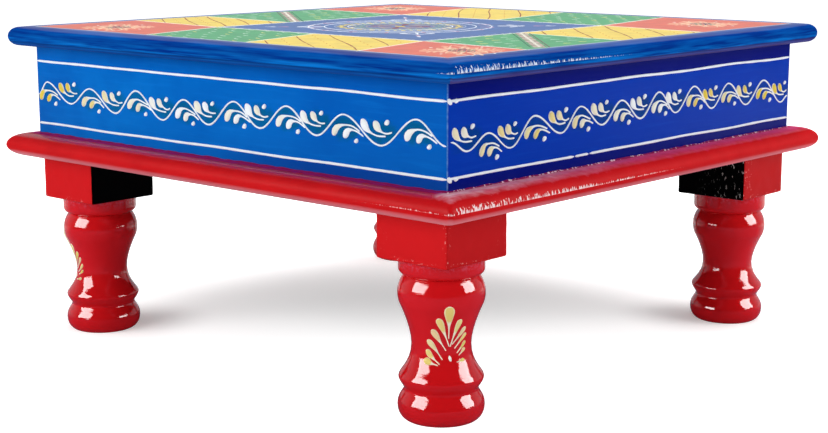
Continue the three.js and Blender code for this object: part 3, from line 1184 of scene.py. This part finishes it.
def paintMandala():
    bm = newStrokes()
    rise = topPattern["rise"]
    outer, line, gold, inner = topPattern["ringRadii"].values()
    counts = topPattern["ringCounts"]
    shiftX, shiftY = topPattern["mandalaShift"]

    def place(u, v):
        return placeOnBoard(*boardPlace(u + shiftX, v + shiftY))

    circles = (
        (outer, 0.4, "white"), (line, 0.4, "white"), (gold + 3.2, 0.3, "chalk"), (gold - 3.6, 0.4, "white"),
        (inner + 5.5, 0.4, "leaf"), (inner, 0.5, "dusk"), (inner - 6.5, 0.4, "dusk"),
    )
    for radius, half, tint in circles:
        addLine(bm, place, ringPoints(radius, 120), half, rise, tints[tint], layer=radius, closed=True)
    for k, angle in enumerate(anglesOf(counts["leaves"])):
        # two rings of small leaves round the innermost circle
        tint = ("leaf", "dusk", "lemon")[k % 3]
        addDot(bm, place, radial(angle, (inner + 8.2, 0))[0], 1.5, 1.0, rise, tints[tint], angle)
        addDot(bm, place, radial(angle, (inner + 2.7, 0))[0], 1.4, 0.8, rise, tints["leaf"], angle)
    for k, angle in enumerate(anglesOf(counts["drops"])):
        # drops that lie across the outer circle
        tint = "pink" if k % 2 else "chalk"
        points = radial(angle, (outer + 1.4, 0), (outer - 2.5, 0.2), (line + 2.2, 0))
        addDrop(bm, place, points, 1.4, 0.4, rise, tints[tint])
    for angle in anglesOf(counts["beads"]):
        # gold beads with a small one between each two
        between = angle + math.pi / counts["beads"]
        addDot(bm, place, radial(angle, (gold, 0))[0], 2.2, 1.6, rise, tints["gold"], angle)
        addDot(bm, place, radial(between, (gold, 0))[0], 1.0, 0.9, rise, tints["lemon"])
    for k, angle in enumerate(anglesOf(counts["petals"])):
        # petals of the middle flower
        tint = "maroon" if k % 3 == 1 else "dusk"
        points = radial(angle, (inner - 1.6, 0), (inner - 5, 0.2), (4.6, 0))
        addDrop(bm, place, points, 2.1, 0.6, rise, tints[tint], neckShare=0.9)
    addDot(bm, place, (0, 0), 3.2, 3.2, rise, tints["gold"])
    return bm


def sideSplit(quarter):
    # where the green panel ends and the yellow one starts on this side
    return layout["leftSplit"] if quarter == 3 else 0.0


def fieldEnd(quarter):
    # how far the painted field reaches from the painter's middle, on this side
    middleX, middleY = layout["middle"]
    return topFinish["fieldHalf"] - 1.0 + (middleY, -middleX, -middleY, middleX)[quarter % 4]


def paintLines(bm, quarter):
    rise = topPattern["rise"]
    place = turnedPlace(quarter)
    square = topFinish["squareHalf"]
    end = fieldEnd(quarter)
    split = sideSplit(quarter)
    # the lines between the fields
    for start, stop, half in (
        ((-square, -square), (square, -square), 0.5),
        ((square, -square - 1), (square, -end), 0.5),
        ((-square, -square - 1), (-square, -end), 0.5),
        ((split, -square - 1), (split, -end), 0.4),
    ):
        line = straight(start, stop, max(6, round(math.dist(start, stop) / topPattern["lineCell"])))
        addLine(bm, place, line, half, rise, tints["cream"], wander=0.4, layer=stop[0])
    dotsFrom, dotsTo = (-square + 3, -square + 3.2), (square - 3, -square + 3.2)
    for spot in straight(dotsFrom, dotsTo, topPattern["edgeDots"] - 1):
        addDot(bm, place, spot, 0.9, 0.6, rise, tints["chalk"])
    # swirls between the ring and the corner of the slate square, with two loops past them
    inset = topPattern["swirlInset"]
    base = (square - inset, -square + inset)
    for turn, reach in ((0.0, 15.0), (0.42, 12.0), (-0.42, 12.0)):
        shape = radial(3 * math.pi / 4 + turn, (reach, turn * 9), (reach * 0.5, turn * 3), (0.8, 0))
        addDrop(bm, place, shifted(shape, base), 1.5, 0.4, rise, tints["white"])
    for near, tint in ((-3.5, "pink"), (-10.0, "white")):
        shape = radial(3 * math.pi / 4, (near, 0), (near - 2.5, 0.6), (near - 5.5, 0))
        addDrop(bm, place, shifted(shape, base), 1.3, 0.4, rise, tints[tint])
    # a chalk line round the rim of the field
    rim = topFinish["fieldHalf"] - topPattern["rimInset"]
    outline = [turned(quarter, u, v) for u, v in straight((-rim, -rim), (rim, -rim), 110)]
    addLine(bm, placeOnBoard, outline, 0.9, 0.6 * rise, tints["chalk"], wander=0.3, layer=quarter)


def paintYellow(bm, quarter):
    # yellow panel: slanting rust lines, all leaning the same way across the board, with small dashes between
    rise = topPattern["rise"] * 0.6
    place = turnedPlace(quarter)
    square = topFinish["squareHalf"]
    lean = math.radians(topPattern["rustLeans"][quarter]) - quarter * math.pi / 2
    aim = (math.cos(lean), math.sin(lean))
    end = fieldEnd(quarter)
    split = sideSplit(quarter)
    middle = ((square + split) / 2, -(square + end) / 2)
    halfWide, halfDeep = (square - split) / 2 - 1.0, (end - square) / 2 - 0.6
    pitch = topPattern["rustPitches"][quarter]

    def slant(along, across):
        return middle[0] + aim[0] * along - aim[1] * across, middle[1] + aim[1] * along + aim[0] * across

    def isInside(u, v):
        return abs(u - middle[0]) < halfWide and abs(v - middle[1]) < halfDeep

    for row in range(-4, 5):
        offset = (row + 0.2) * pitch
        line = []
        for step in range(-40, 41):
            along = step * 1.5
            spot = slant(along, offset + 0.6 * math.sin(along / 13 + row))
            if isInside(*spot):
                line.append(spot)
        if len(line) > 4:
            addLine(bm, place, line, topPattern["rustHalf"], rise, tints["rust"], 0.8, offset + quarter)
        for step in range(-5, 6):
            u, v = slant(topPattern["dashPitch"] * step, offset + pitch / 2)
            if all(isInside(u + du, v + dv) for du, dv in ((2, 0), (-2, 0), (0, 2), (0, -2))):
                addDot(bm, place, (u, v), 1.7, 0.4, rise, tints["amber"], turn=lean)


def paintGreen(bm, quarter):
    # green panel: rows of small pale leaves. On two sides a patterned band crosses it
    rise = topPattern["rise"] * 0.8
    place = turnedPlace(quarter)
    square = topFinish["squareHalf"]
    end = fieldEnd(quarter)
    half = topPattern["bandHalf"]
    isBanded = quarter % 2 == 1
    split = sideSplit(quarter)
    start, stop = (0.7 * split, -square - 1.0), (-square + 13.0 + 0.9 * split, -end + 3.0)
    run = math.dist(start, stop)
    aim = ((stop[0] - start[0]) / run, (stop[1] - start[1]) / run)
    row = 0
    v = -square - 4.0
    while v > -end + 2:
        u = -square + 4 + (row % 2) * topPattern["leafPitch"] / 2
        while u < split - 3:
            fromBand = abs((u - start[0]) * aim[1] - (v - start[1]) * aim[0])
            if fromBand > half + 3.0 or not isBanded:
                points = jitter(((u - 2.0, v + 0.9), (u, v - 0.1), (u + 2.2, v - 0.5)), 0.4)
                addDrop(bm, place, points, 0.6, 0.3, rise, tints["mint" if (row + int(u)) % 3 else "lemon"])
            u += topPattern["leafPitch"] * random.uniform(0.85, 1.15)
        v -= topPattern["leafRow"]
        row += 1
    if not isBanded:
        return
    # the band: beige between a moss and a bark line, with crossed strokes and a dot on each crossing
    band = straight(start, stop, 24)
    addStroke(bm, place, band, [0.9 * half] * len(band), 0.04, tints["beige"])
    for side, tint in ((-1, "moss"), (1, "bark")):
        edging = shifted(band, (-aim[1] * half * side, aim[0] * half * side))
        addLine(bm, place, edging, 0.45, rise, tints[tint], wander=0.4, layer=side)
    count = round(run / topPattern["crossPitch"])
    turn = math.atan2(aim[1], aim[0])
    for k in range(count):
        middle = blend(start, stop, (k + 0.5) / count)
        for side in (-1, 1):
            spot = (middle[0] - aim[1] * 1.9 * side, middle[1] + aim[0] * 1.9 * side)
            tint = "bark" if (k + side) % 3 else "pink"
            addDot(bm, place, spot, 1.9, 0.45, 1.4 * rise, tints[tint], turn=turn - 0.8 * side)
        addDot(bm, place, middle, 0.9, 0.8, 1.6 * rise, tints["cream"])


def paintRed(bm, quarter):
    # red corner: a peach flower of eight outlined petals, leaves beside the long ones, round a ring of eyes
    rise = topPattern["rise"] * 0.8
    place = turnedPlace(quarter)
    shiftU, shiftV = topPattern["flowerShift"][quarter]
    middleU = (topFinish["squareHalf"] + fieldEnd(quarter + 1)) / 2 + shiftU
    middleV = (topFinish["squareHalf"] + fieldEnd(quarter)) / 2 - shiftV

    def local(u, v):
        return place(middleU + u, -middleV + v)

    for k in range(8):
        angle = math.pi / 4 * (k + 1)
        isLong = k % 2 == 0
        length = topPattern["flowerReach"] * (1.2 if isLong else 0.85)
        bulge = 3.2 if isLong else 2.2
        for side in (-1, 1):
            shape = ((7.5, 0.5), (length * 0.55, bulge), (length * 0.85, bulge * 0.6), (length, 0))
            points = jitter(radial(angle, *[(along, across * side) for along, across in shape]), 0.4)
            addDrop(bm, local, points, 1.1, 0.5, rise, tints["peach"], neckShare=0.8)
        if not isLong:
            tip = radial(angle, (length + 3.2, 0))[0]
            addDot(bm, local, tip, 1.1, 0.8, rise, tints["cream"], turn=angle)
            continue
        for share in (0.55, 0.72, 0.88):
            for side in (-1, 1):
                shape = ((share, 6.5), (share - 0.06, 5), (share - 0.12, 3.4))
                leaf = radial(angle, *[(length * along, across * side) for along, across in shape])
                addDrop(bm, local, jitter(leaf, 0.4), 1.0, 0.45, rise, tints["peach"])
    for k, spot in enumerate(ringPoints(topPattern["eyeRing"], 6) + [(0, 0)]):
        eye = shifted(ringPoints(topPattern["eyeHalf"], 14), spot)
        addLine(bm, local, eye, 0.4, rise, tints["leaf" if k % 2 else "slate"], closed=True)
        addDot(bm, local, spot, 0.7, 0.7, rise, tints["peach"])


strokePiece("top_mandala", paintMandala())
painters = {"lines": paintLines, "yellow": paintYellow, "green": paintGreen, "red": paintRed}
for painterName, painter in painters.items():
    strokes = newStrokes()
    for quarterIndex in range(4):
        painter(strokes, quarterIndex)
    strokePiece("top_strokes_" + painterName, strokes)
print("top painted")

# Lower board: red enamel, black beneath. The pink rim on the underside of its edge is a painted reflection
# of the white floor. Round the box lies a magenta seam, partly blue run into the red and partly a painted
# reflection of the blue box in the gloss; on the right it is wider and pinker, with pale specks by the near
# corner
redFinish = {
    "rounding": 9.0,
    "corner": 2.2,
    "crownWidth": 0.0,
    "crownDrop": 0.0,
    "colour": "#C21016",
    "bright": "#CE151A",
    "cloudSize": 25.0,
    "seam": "#B01480",
    "seamRight": "#F2508E",
    "seamPale": "#F8D2DA",
    "seamWidth": 4.6,
    "seamWidthRight": 8.4,
    "seamCover": 0.85,
    "seamEnd": (0.85, 1.45),
    "seamRoughness": 0.5,
    "seamShine": 0.15,
    "seamWander": 1.4,
    "seamWanderSize": 5.0,
    "seamPaleSize": 2.2,
    "seamPaleReach": 125.0,
    "seamPaleCover": 0.95,
    "rim": "#F0A0AC",
    "floorReflectionCover": 0.6,
    "combGlint": "#F8E2E4",
    "combFoot": 5.75,
    "combReach": (58.0, 175.0),
    "ridgeSize": 0.9,
    "ridgeDepth": 0.07,
    "waveDepth": 0.06,
    "roughness": (0.4, 0.14),
    "gloss": (0.03, 0.5),
}


def makeRedEnamel():
    material, add = newMaterial("brushedRedEnamel")
    place = add("TexCoord", output="Object")
    x, y = (add("SeparateXYZ", (place,), output=axis) for axis in "XY")
    fromBox = add("Math", (squareReach(add, x, y), boxHalf), operation="SUBTRACT")
    wander = redFinish["seamWander"] * mm
    ragged = mottle(add, redFinish["seamWanderSize"], detail=4.0)
    ragged = add("MapRange", (ragged, 0.3, 0.7, -wander, wander))
    ragged = add("Math", (fromBox, ragged), operation="ADD")
    onRight = add("MapRange", (x, boxHalf - 3 * mm, boxHalf + 1 * mm))
    widths = (redFinish["seamWidth"] * mm, redFinish["seamWidthRight"] * mm)
    width = add("MapRange", (onRight, 0.0, 1.0, *widths))
    past = add("Math", (ragged, width), operation="DIVIDE")
    seam = add("Math", (1.15, past), operation="SUBTRACT")
    seam = add("MapRange", (seam, 0.0, 0.7, 0.0, redFinish["seamCover"]))
    paleSpecksEnd = -boxHalf + redFinish["seamPaleReach"] * mm
    byCorner = add("MapRange", (y, -boxHalf, paleSpecksEnd, redFinish["seamPaleCover"], 0.0))
    specks = add("MapRange", (mottle(add, redFinish["seamPaleSize"], (1, 3, 1)), 0.3, 0.6, 0.3, 1.0))
    paleSpecks = add("Math", (byCorner, specks), operation="MULTIPLY")
    right = layCoats(add, redFinish["seamRight"], [(paleSpecks, redFinish["seamPale"])])
    upright = uprightness(add)
    clouds = mottle(add, redFinish["cloudSize"], detail=4.0)
    # coats: brighter clouds, the seam with its painted reflection of the box, the rim's painted reflection
    # of the floor, and the comb of painted highlight
    painted = layCoats(add, redFinish["colour"], [
        (add("MapRange", (clouds, 0.35, 0.68)), redFinish["bright"]),
        (seam, layCoats(add, redFinish["seam"], [(onRight, right)])),
        (add("MapRange", (upright, -0.45, -0.85, 0.0, redFinish["floorReflectionCover"])), redFinish["rim"]),
        (glintCombCover(add, baseHigh, baseLow.z + redFinish["combFoot"] * mm, redFinish), redFinish["combGlint"]),
    ])
    flat, bumps = boardFilm(add, redFinish, upright)
    # the seam is matt
    inSeam = add("Math", (fromBox, width), operation="DIVIDE")
    matt = add("MapRange", (inSeam, *redFinish["seamEnd"], redFinish["seamRoughness"], 0.0))
    rough = add("MapRange", (flat, 0.0, 0.5, *redFinish["roughness"]))
    rough = add("Math", (rough, matt), operation="ADD")
    shine = add("MapRange", (inSeam, *redFinish["seamEnd"], redFinish["seamShine"], 1.0))
    gloss = add("MapRange", (flat, 0.0, 0.5, *redFinish["gloss"]))
    gloss = add("Math", (gloss, shine), operation="MULTIPLY")
    return enamelShader(material, add, painted, rough, bumps, gloss)


redEnamel = makeRedEnamel()

# Black enamel, thin and brushed quickly: pale flecks of bare primer show through it
blackFinish = {
    "colour": "#020202",
    "fleck": "#D8D5D2",
    "fleckSize": 0.9,
    "fleckLevels": (0.62, 0.66),
    "patchSize": 14.0,
    "brushSize": 1.5,
    "brushDepth": 0.05,
    "roughness": 0.42,
    "gloss": 0.03,
}


def makeBlackEnamel():
    material, add = newMaterial("thinBlackEnamel")
    flecks = mottle(add, blackFinish["fleckSize"], (1, 1, 2.6))
    thin = add("Attribute", output="Fac", attribute_name="wear")
    patches = add("MapRange", (mottle(add, blackFinish["patchSize"], detail=2.0), 0.3, 0.55))
    patches = add("Math", (patches, thin), operation="MULTIPLY")
    flecks = add("MapRange", (flecks, *blackFinish["fleckLevels"]))
    cover = add("Math", (flecks, patches), operation="MULTIPLY")
    painted = layCoats(add, blackFinish["colour"], [(cover, blackFinish["fleck"])])
    bumps = [(mottle(add, blackFinish["brushSize"], (1, 1, 5)), blackFinish["brushDepth"])]
    return enamelShader(material, add, painted, blackFinish["roughness"], bumps, blackFinish["gloss"])


blackEnamel = makeBlackEnamel()


def makeLowerBoard():
    bm = roundedBoard(baseHigh.x, baseLow.z, baseHigh.z, redFinish, 9.0)
    for face in bm.faces:
        if len(face.verts) > 4 and face.calc_center_median().z < baseLow.z + 0.5 * mm:
            face.material_index = 1
    newPiece("red_board", bm, [redEnamel, blackEnamel], ["lower_board"])


makeLowerBoard()

# Bead of paint in the angle between the box and the red board, purple with pale flecks on the right. Its
# section gives the way out from the box and the way up, as shares of its size
bead = {
    "size": 0.6,
    "section": ((-0.3, -0.3), (1.0, -0.3), (0.95, 0.1), (0.45, 0.45), (0.1, 0.95), (-0.3, 1.0)),
    "corner": 0.6,
    "cornerSteps": 3,
    "edgeCells": 190,
    "lumpSize": 4.0,
    "lumpShare": 0.7,
    "colour": "#8A1450",
    "fleck": "#F0D2DC",
    "fleckSize": 1.6,
    "fleckLevels": (0.56, 0.6),
    "grainSize": 0.8,
    "grainDepth": 0.05,
    "roughness": 0.3,
}


def makeBeadPaint():
    material, add = newMaterial("mixedPaintBead")
    flecks = add("MapRange", (mottle(add, bead["fleckSize"], detail=2.0), *bead["fleckLevels"]))
    place = add("TexCoord", output="Object")
    across = add("SeparateXYZ", (place,), output="X")
    onRight = add("Math", (across, boxHalf - mm), operation="GREATER_THAN")
    flecks = add("Math", (flecks, onRight), operation="MULTIPLY")
    painted = layCoats(add, bead["colour"], [(flecks, bead["fleck"])])
    bumps = [(mottle(add, bead["grainSize"]), bead["grainDepth"])]
    return enamelShader(material, add, painted, bead["roughness"], bumps, enamel["boxGloss"])


def makeSeamBead():
    stack = []
    lump = bead["lumpSize"] * mm
    for outShare, upShare in bead["section"]:
        ring = []
        for x, y in squareRing(boxHalf, bead["corner"] * mm, bead["cornerSteps"], bead["edgeCells"]):
            swell = bead["lumpShare"] * noise.noise((x / lump, y / lump, 0.5))
            size = bead["size"] * mm * (1 + swell)
            outX = x if abs(x) > boxHalf - mm else 0
            outY = y if abs(y) > boxHalf - mm else 0
            aim = Vector((outX, outY, 0)).normalized()
            ring.append(Vector((x, y, boxFoot + upShare * size)) + aim * outShare * size)
        stack.append(ring)
    bm = bmesh.new()
    addRings(bm, stack, closed=True)
    newPiece("seam_bead", bm, [makeBeadPaint()], sharpAngle=70)


makeSeamBead()
print("red board laid")

# Legs: each one billet, left square at the top. The turned outline repeats the frame's stations: the cut
# into the billet's face, the rise above the station below, and how far the curve's upright handles reach
legShape = {
    "billetHalf": 20.0,
    "arris": 0.9,
    "stations": (
        (4.5, 0.0, 0.0, 0.0),
        (0.95, 6.5, 0.8, 0.55),
        (3.8, 7.5, 0.25, 0.15),
        (1.35, 5.0, 0.35, 0.15),
        (7.0, 14.5, 0.6, 0.4),
        (1.8, 18.0, 0.0, 0.0),
        (0.9, 5.0, 0.6, 0.6),
        (3.75, 7.75, 0.0, 0.0),
        (1.2, 3.0, 0.8, 0.0),
        (1.2, 4.0, 0.0, 0.0),
    ),
    "neckAt": 4,
    "taperAt": 5,
    "collarAt": 9,
    "blockShare": 0.5,
    "cornerSteps": 4,
    "edgeCells": 20,
    "blockCells": 24,
    "chamfer": ((0.0, 0.7), (0.25, 0.2), (0.7, 0.0)),  # heights above the block's foot, and insets
    "unevenSize": 11.0,
    "unevenDepth": 0.3,
    "collarWear": (4.5, 0.5),
    "innerShare": 0.6,
    "wornRings": 3,
}
legs = {
    "front_right": {"at": (1, -1), "lowering": 0.0, "fanTurn": 8.7, "thinBlack": 0.1},
    "front_left": {"at": (-1, -1), "lowering": 2.0, "fanTurn": 13.0, "thinBlack": 0.0},
    "back_right": {"at": (1, 1), "lowering": 4.5, "fanTurn": 42.0, "thinBlack": 1.0},
    "back_left": {"at": (-1, 1), "lowering": 1.0, "fanTurn": 6.0, "thinBlack": 0.3},
}
legCentre = sum(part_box("leg_front_right")[end].x for end in (0, 1)) / 2


def legSpot(leg):
    return Vector((leg["at"][0] * legCentre, leg["at"][1] * legCentre, 0))


def legOutline(lowering, steps=7):
    # radius and height along the turned part, in millimetres
    stations = legShape["stations"]
    slender = 1 - lowering / (stations[legShape["neckAt"]][1] + stations[legShape["taperAt"]][1])
    outline = []
    height = 0.0
    below = None
    for index, (cut, rise, belowShare, aboveShare) in enumerate(stations):
        radius = legShape["billetHalf"] - cut
        if index in (legShape["neckAt"], legShape["taperAt"]):
            rise *= slender
        if index == legShape["collarAt"]:
            rise += lowering * (1 - legShape["blockShare"])
        if below is None:
            outline.append((radius, 0.0))
        else:
            belowRadius, belowAbove = below
            handles = (height, height + rise * belowAbove, height + rise * (1 - belowShare), height + rise)
            for step in range(1, steps + 1):
                t = step / steps
                near = (1 - t) ** 3 + 3 * (1 - t) ** 2 * t
                weights = ((1 - t) ** 3, 3 * (1 - t) ** 2 * t, 3 * (1 - t) * t * t, t ** 3)
                outline.append((
                    belowRadius * near + radius * (1 - near),
                    sum(w * h for w, h in zip(weights, handles)),
                ))
            height += rise
        below = (radius, aboveShare)
    return outline


# Red lacquer of the legs: the turned part was polished on the lathe, so it is glossier than the square
# block, which was brushed
legFinish = {
    "colour": "#D0141A",
    "cloudSize": 12.0,
    "cloudCover": 0.6,
    "collarTint": "#C8566C",
    "rubSize": 1.4,
    "rubCover": 0.6,
    "ringSize": 0.9,
    "ringDepth": 0.05,
    "waveSize": 6.0,
    "waveDepth": 0.14,
    "roughness": 0.045,
}
blockFinish = {
    "colour": "#CC161B",
    "shade": "#B81317",
    "unevenSize": 5.0,
    "unevenCover": (-0.15, 0.15),
    "fleck": "#E49A98",
    "fleckSize": 1.2,
    "fleckLevels": (0.63, 0.72),
    "brushSize": 1.0,
    "brushDepth": 0.02,
    "waveSize": 7.0,
    "waveDepth": 0.08,
    "roughness": 0.3,
    "gloss": 0.04,
}


def makeLegLacquer():
    material, add = newMaterial("turnedRedLacquer")
    clouds = mottle(add, legFinish["cloudSize"])
    wear = add("Attribute", output="Fac", attribute_name="wear")
    rubs = add("MapRange", (mottle(add, legFinish["rubSize"]), 0.45, 0.68, 0.0, legFinish["rubCover"]))
    red = layCoats(add, legFinish["colour"], [
        (add("MapRange", (clouds, 0.4, 0.7, 0.0, legFinish["cloudCover"])), redFinish["bright"]),
        (add("Math", (wear, rubs), operation="MULTIPLY"), legFinish["collarTint"]),
    ])
    turning = mottle(add, legFinish["ringSize"], (30, 30, 1))
    wave = mottle(add, legFinish["waveSize"], detail=2.0)
    bumps = [(wave, legFinish["waveDepth"]), (turning, legFinish["ringDepth"])]
    return enamelShader(material, add, red, legFinish["roughness"], bumps, enamel["lacquerGloss"])


def makeBlockEnamel():
    material, add = newMaterial("brushedBlockEnamel")
    # faces towards the sides, along x, get the darker shade colour: painted shade where less light falls
    face = add("NewGeometry", output="Normal")
    across = add("SeparateXYZ", (face,), output="X")
    across = add("Math", (across,), operation="ABSOLUTE")
    paintedShadeSide = add("Math", (across, 0.7), operation="GREATER_THAN")
    uneven = mottle(add, blockFinish["unevenSize"])
    uneven = add("MapRange", (uneven, 0.3, 0.7, *blockFinish["unevenCover"]))
    wear = add("Attribute", output="Fac", attribute_name="wear")
    flecks = add("MapRange", (mottle(add, blockFinish["fleckSize"]), *blockFinish["fleckLevels"]))
    painted = layCoats(add, blockFinish["colour"], [
        (add("Math", (paintedShadeSide, uneven), operation="ADD"), blockFinish["shade"]),
        (add("Math", (wear, flecks), operation="MULTIPLY"), blockFinish["fleck"]),
    ])
    brushed = mottle(add, blockFinish["brushSize"], (1, 1, 12))
    wave = mottle(add, blockFinish["waveSize"])
    bumps = [(brushed, blockFinish["brushDepth"]), (wave, blockFinish["waveDepth"])]
    return enamelShader(material, add, painted, blockFinish["roughness"], bumps, blockFinish["gloss"])


legLacquer = makeLegLacquer()
blockEnamel = makeBlockEnamel()


def makeLeg(name, leg):
    # rings up the turned part, then up the square block, whose foot has a small chamfer
    outline = legOutline(leg["lowering"])
    shoulder = outline[-1][1]
    half, arris = legShape["billetHalf"], legShape["arris"]
    cornerSteps, edgeCells = legShape["cornerSteps"], legShape["edgeCells"]
    centre = legSpot(leg)
    sideX, sideY = leg["at"]
    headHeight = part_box("leg_" + name)[1].z / mm
    stack = []
    for radius, height in outline:
        ring = []
        for x, y in squareRing(half, arris, cornerSteps, edgeCells):
            reach = math.hypot(x, y)
            ring.append(Vector((x / reach * radius * mm, y / reach * radius * mm, height * mm)) + centre)
        stack.append(ring)
    turnedRings = len(stack)
    levels = [(shoulder + up, inset) for up, inset in legShape["chamfer"]]
    levels += straight(levels[-1], (headHeight, 0.0), legShape["blockCells"])[1:]
    for height, inset in levels:
        ring = []
        for x, y in squareRing(half - inset, arris, cornerSteps, edgeCells):
            point = Vector((x * mm, y * mm, height * mm)) + centre
            dent = abs(drift(point, legShape["unevenSize"], legShape["unevenDepth"], 4.0))
            point -= Vector((x, y, 0)).normalized() * dent
            ring.append(point)
        stack.append(ring)
    bm = bmesh.new()
    wear = bm.verts.layers.float.new("wear")
    for level, ring in enumerate(addRings(bm, stack)):
        for at, vert in enumerate(ring):
            x, y = (vert.co.x - centre.x) * sideX, (vert.co.y - centre.y) * sideY
            isArris = at % (cornerSteps + edgeCells) <= cornerSteps
            if level < turnedRings:
                wearFrom, wearTo = (shoulder - below for below in legShape["collarWear"])
                vert[wear] = smoothStep(wearFrom, wearTo, outline[level][1])
            elif min(x, y) < -legShape["innerShare"] * half * mm:
                vert[wear] = leg["thinBlack"] * smoothStep(-0.5, 0.8, max(x, y) / (half * mm))
            else:
                vert[wear] = 1.0 if isArris or level <= turnedRings + legShape["wornRings"] else 0.0
    for face in bm.faces:
        middle = face.calc_center_median() - centre
        if middle.z > shoulder * mm + 0.1 * mm:
            out = middle.x * sideX if abs(middle.x) > abs(middle.y) else middle.y * sideY
            face.material_index = 2 if out < 0 else 1
    coats = [legLacquer, blockEnamel, blackEnamel]
    newPiece("turned_leg_" + name, bm, coats, ["leg_" + name], sharpAngle=34)


# The fan on each leg: a middle drop, side drops that rise from a stem, and a dot at the foot. Each drop's
# places run from head to tail: how far round the leg, and how high above the floor
fan = {
    "rise": 0.5,
    "wrapRadius": 15.0,
    "lowerShare": 0.5,
    "heads": {"middle": (2.0,), "left": (1.6,) * 5, "right": (1.5, 1.15, 1.05, 1.0, 0.95, 0.9)},
    "tailHalf": 0.32,
    "middle": (((-0.8, 53.9), (-0.4, 47.0), (0.1, 38.6)),),
    "left": (
        ((-4.7, 48.2), (-2.8, 43.0), (0.4, 34.9)),
        ((-7.6, 42.9), (-4.9, 38.6), (-1.2, 33.3)),
        ((-10.2, 37.8), (-6.8, 34.4), (-2.7, 29.4)),
        ((-11.2, 33.3), (-8.1, 30.7), (-4.2, 27.5)),
        ((-11.9, 29.1), (-8.7, 28.1), (-4.9, 27.0)),
    ),
    "right": (
        ((4.5, 47.5), (3.2, 42.8), (1.0, 34.9)),
        ((7.8, 43.5), (5.5, 40.1), (1.9, 36.0)),
        ((8.9, 40.5), (6.7, 37.6), (3.3, 34.0)),
        ((9.6, 36.8), (7.3, 34.4), (4.4, 32.0)),
        ((9.4, 33.6), (7.4, 32.0), (5.4, 30.9)),
        ((8.5, 28.9), (6.2, 28.5), (4.1, 28.2)),
    ),
    "dot": (0.8, 29.8),
}


def placeOnLeg(leg, outline):
    diagonal = math.atan2(leg["at"][1], leg["at"][0]) + math.radians(leg["fanTurn"])
    centre = legSpot(leg)

    def place(s, height):
        height -= leg["lowering"] * fan["lowerShare"]
        for low, high in zip(outline, outline[1:]):
            if height <= high[1]:
                break
        radius = mixed(low[0], high[0], (height - low[1]) / (high[1] - low[1]))
        angle = diagonal + s / fan["wrapRadius"]
        slope = (high[0] - low[0]) / (high[1] - low[1])
        aim = Vector((math.cos(angle), math.sin(angle), 0))
        point = centre + aim * radius * mm + Vector((0, 0, height * mm))
        return point, (aim - Vector((0, 0, slope))).normalized()

    return place


def makeFan(name, leg):
    place = placeOnLeg(leg, legOutline(leg["lowering"], steps=24))
    bm = newStrokes()
    cream, golden = tints["cream"], tints["gold"]
    rim = blend(cream, golden, 0.2)
    for group, heads in fan["heads"].items():
        for points, head in zip(fan[group], heads):
            # red, green and blue each get a share of their own, so the golds differ in hue
            core = tuple(mixed(a, b, random.uniform(0.55, 0.9)) for a, b in zip(cream, golden))
            head *= random.uniform(0.92, 1.05)
            addDrop(bm, place, jitter(points, 0.12), head, fan["tailHalf"], fan["rise"], rim, 0.7, core)
    addDot(bm, place, fan["dot"], 1.3, 0.8, fan["rise"], cream, turn=1.9)
    strokePiece("fan_" + name, bm)


for legName, legSet in legs.items():
    makeLeg(legName, legSet)
    makeFan(legName, legSet)
print("legs turned and painted")

# What the frame keeps: matt sawn glue blocks and dull wire nails inside the box, nail heads under the board
sawnWood = {
    "colour": "#C9A574",
    "grain": "#A67C4C",
    "grainSize": 1.4,
    "grainDepth": 0.15,
    "roughness": 0.78,
    "gloss": 0.3,
}
wireSteel = {"colour": "#8A8C8F", "rust": "#5E4634", "spotSize": 0.8, "roughness": (0.35, 0.7)}


def makeSawnWood():
    material, add = newMaterial("sawnMangoWood")
    grain = mottle(add, sawnWood["grainSize"], (1, 1, 14))
    pale = add("MapRange", (grain, 0.35, 0.65))
    colour = layCoats(add, sawnWood["grain"], [(pale, sawnWood["colour"])])
    bumps = [(grain, sawnWood["grainDepth"])]
    return enamelShader(material, add, colour, sawnWood["roughness"], bumps, sawnWood["gloss"])


def makeWireSteel():
    material, add = newMaterial("drawnWireSteel")
    spots = add("MapRange", (mottle(add, wireSteel["spotSize"]), 0.55, 0.7))
    colour = layCoats(add, wireSteel["colour"], [(spots, wireSteel["rust"])])
    rough = add("MapRange", (spots, 0.0, 1.0, *wireSteel["roughness"]))
    steel = {"Base Color": colour, "Metallic": 1.0, "Roughness": rough}
    add("OutputMaterial", (add("BsdfPrincipled", steel),))
    return material


sawnBlock = makeSawnWood()
nailSteel = makeWireSteel()
for nodeName, node in frame["nodes"].items():
    if node.hide_render:
        continue
    keptMaterial = sawnBlock if nodeName.startswith("corner_block") else nailSteel
    node.data.materials.clear()
    node.data.materials.append(keptMaterial)
print("hidden pieces finished")

# The windows shine on the lacquered legs and the red board only, as on the flat top they would be one glare
lacquered = bpy.data.collections.new("lacquered")
for piece in bpy.data.objects:
    if piece.name.startswith(("turned_leg", "fan", "red_board")):
        lacquered.objects.link(piece)
for windowName in ("leftWindow", "rightWindow"):
    bpy.data.objects[windowName].light_linking.receiver_collection = lacquered
print("windows aimed")
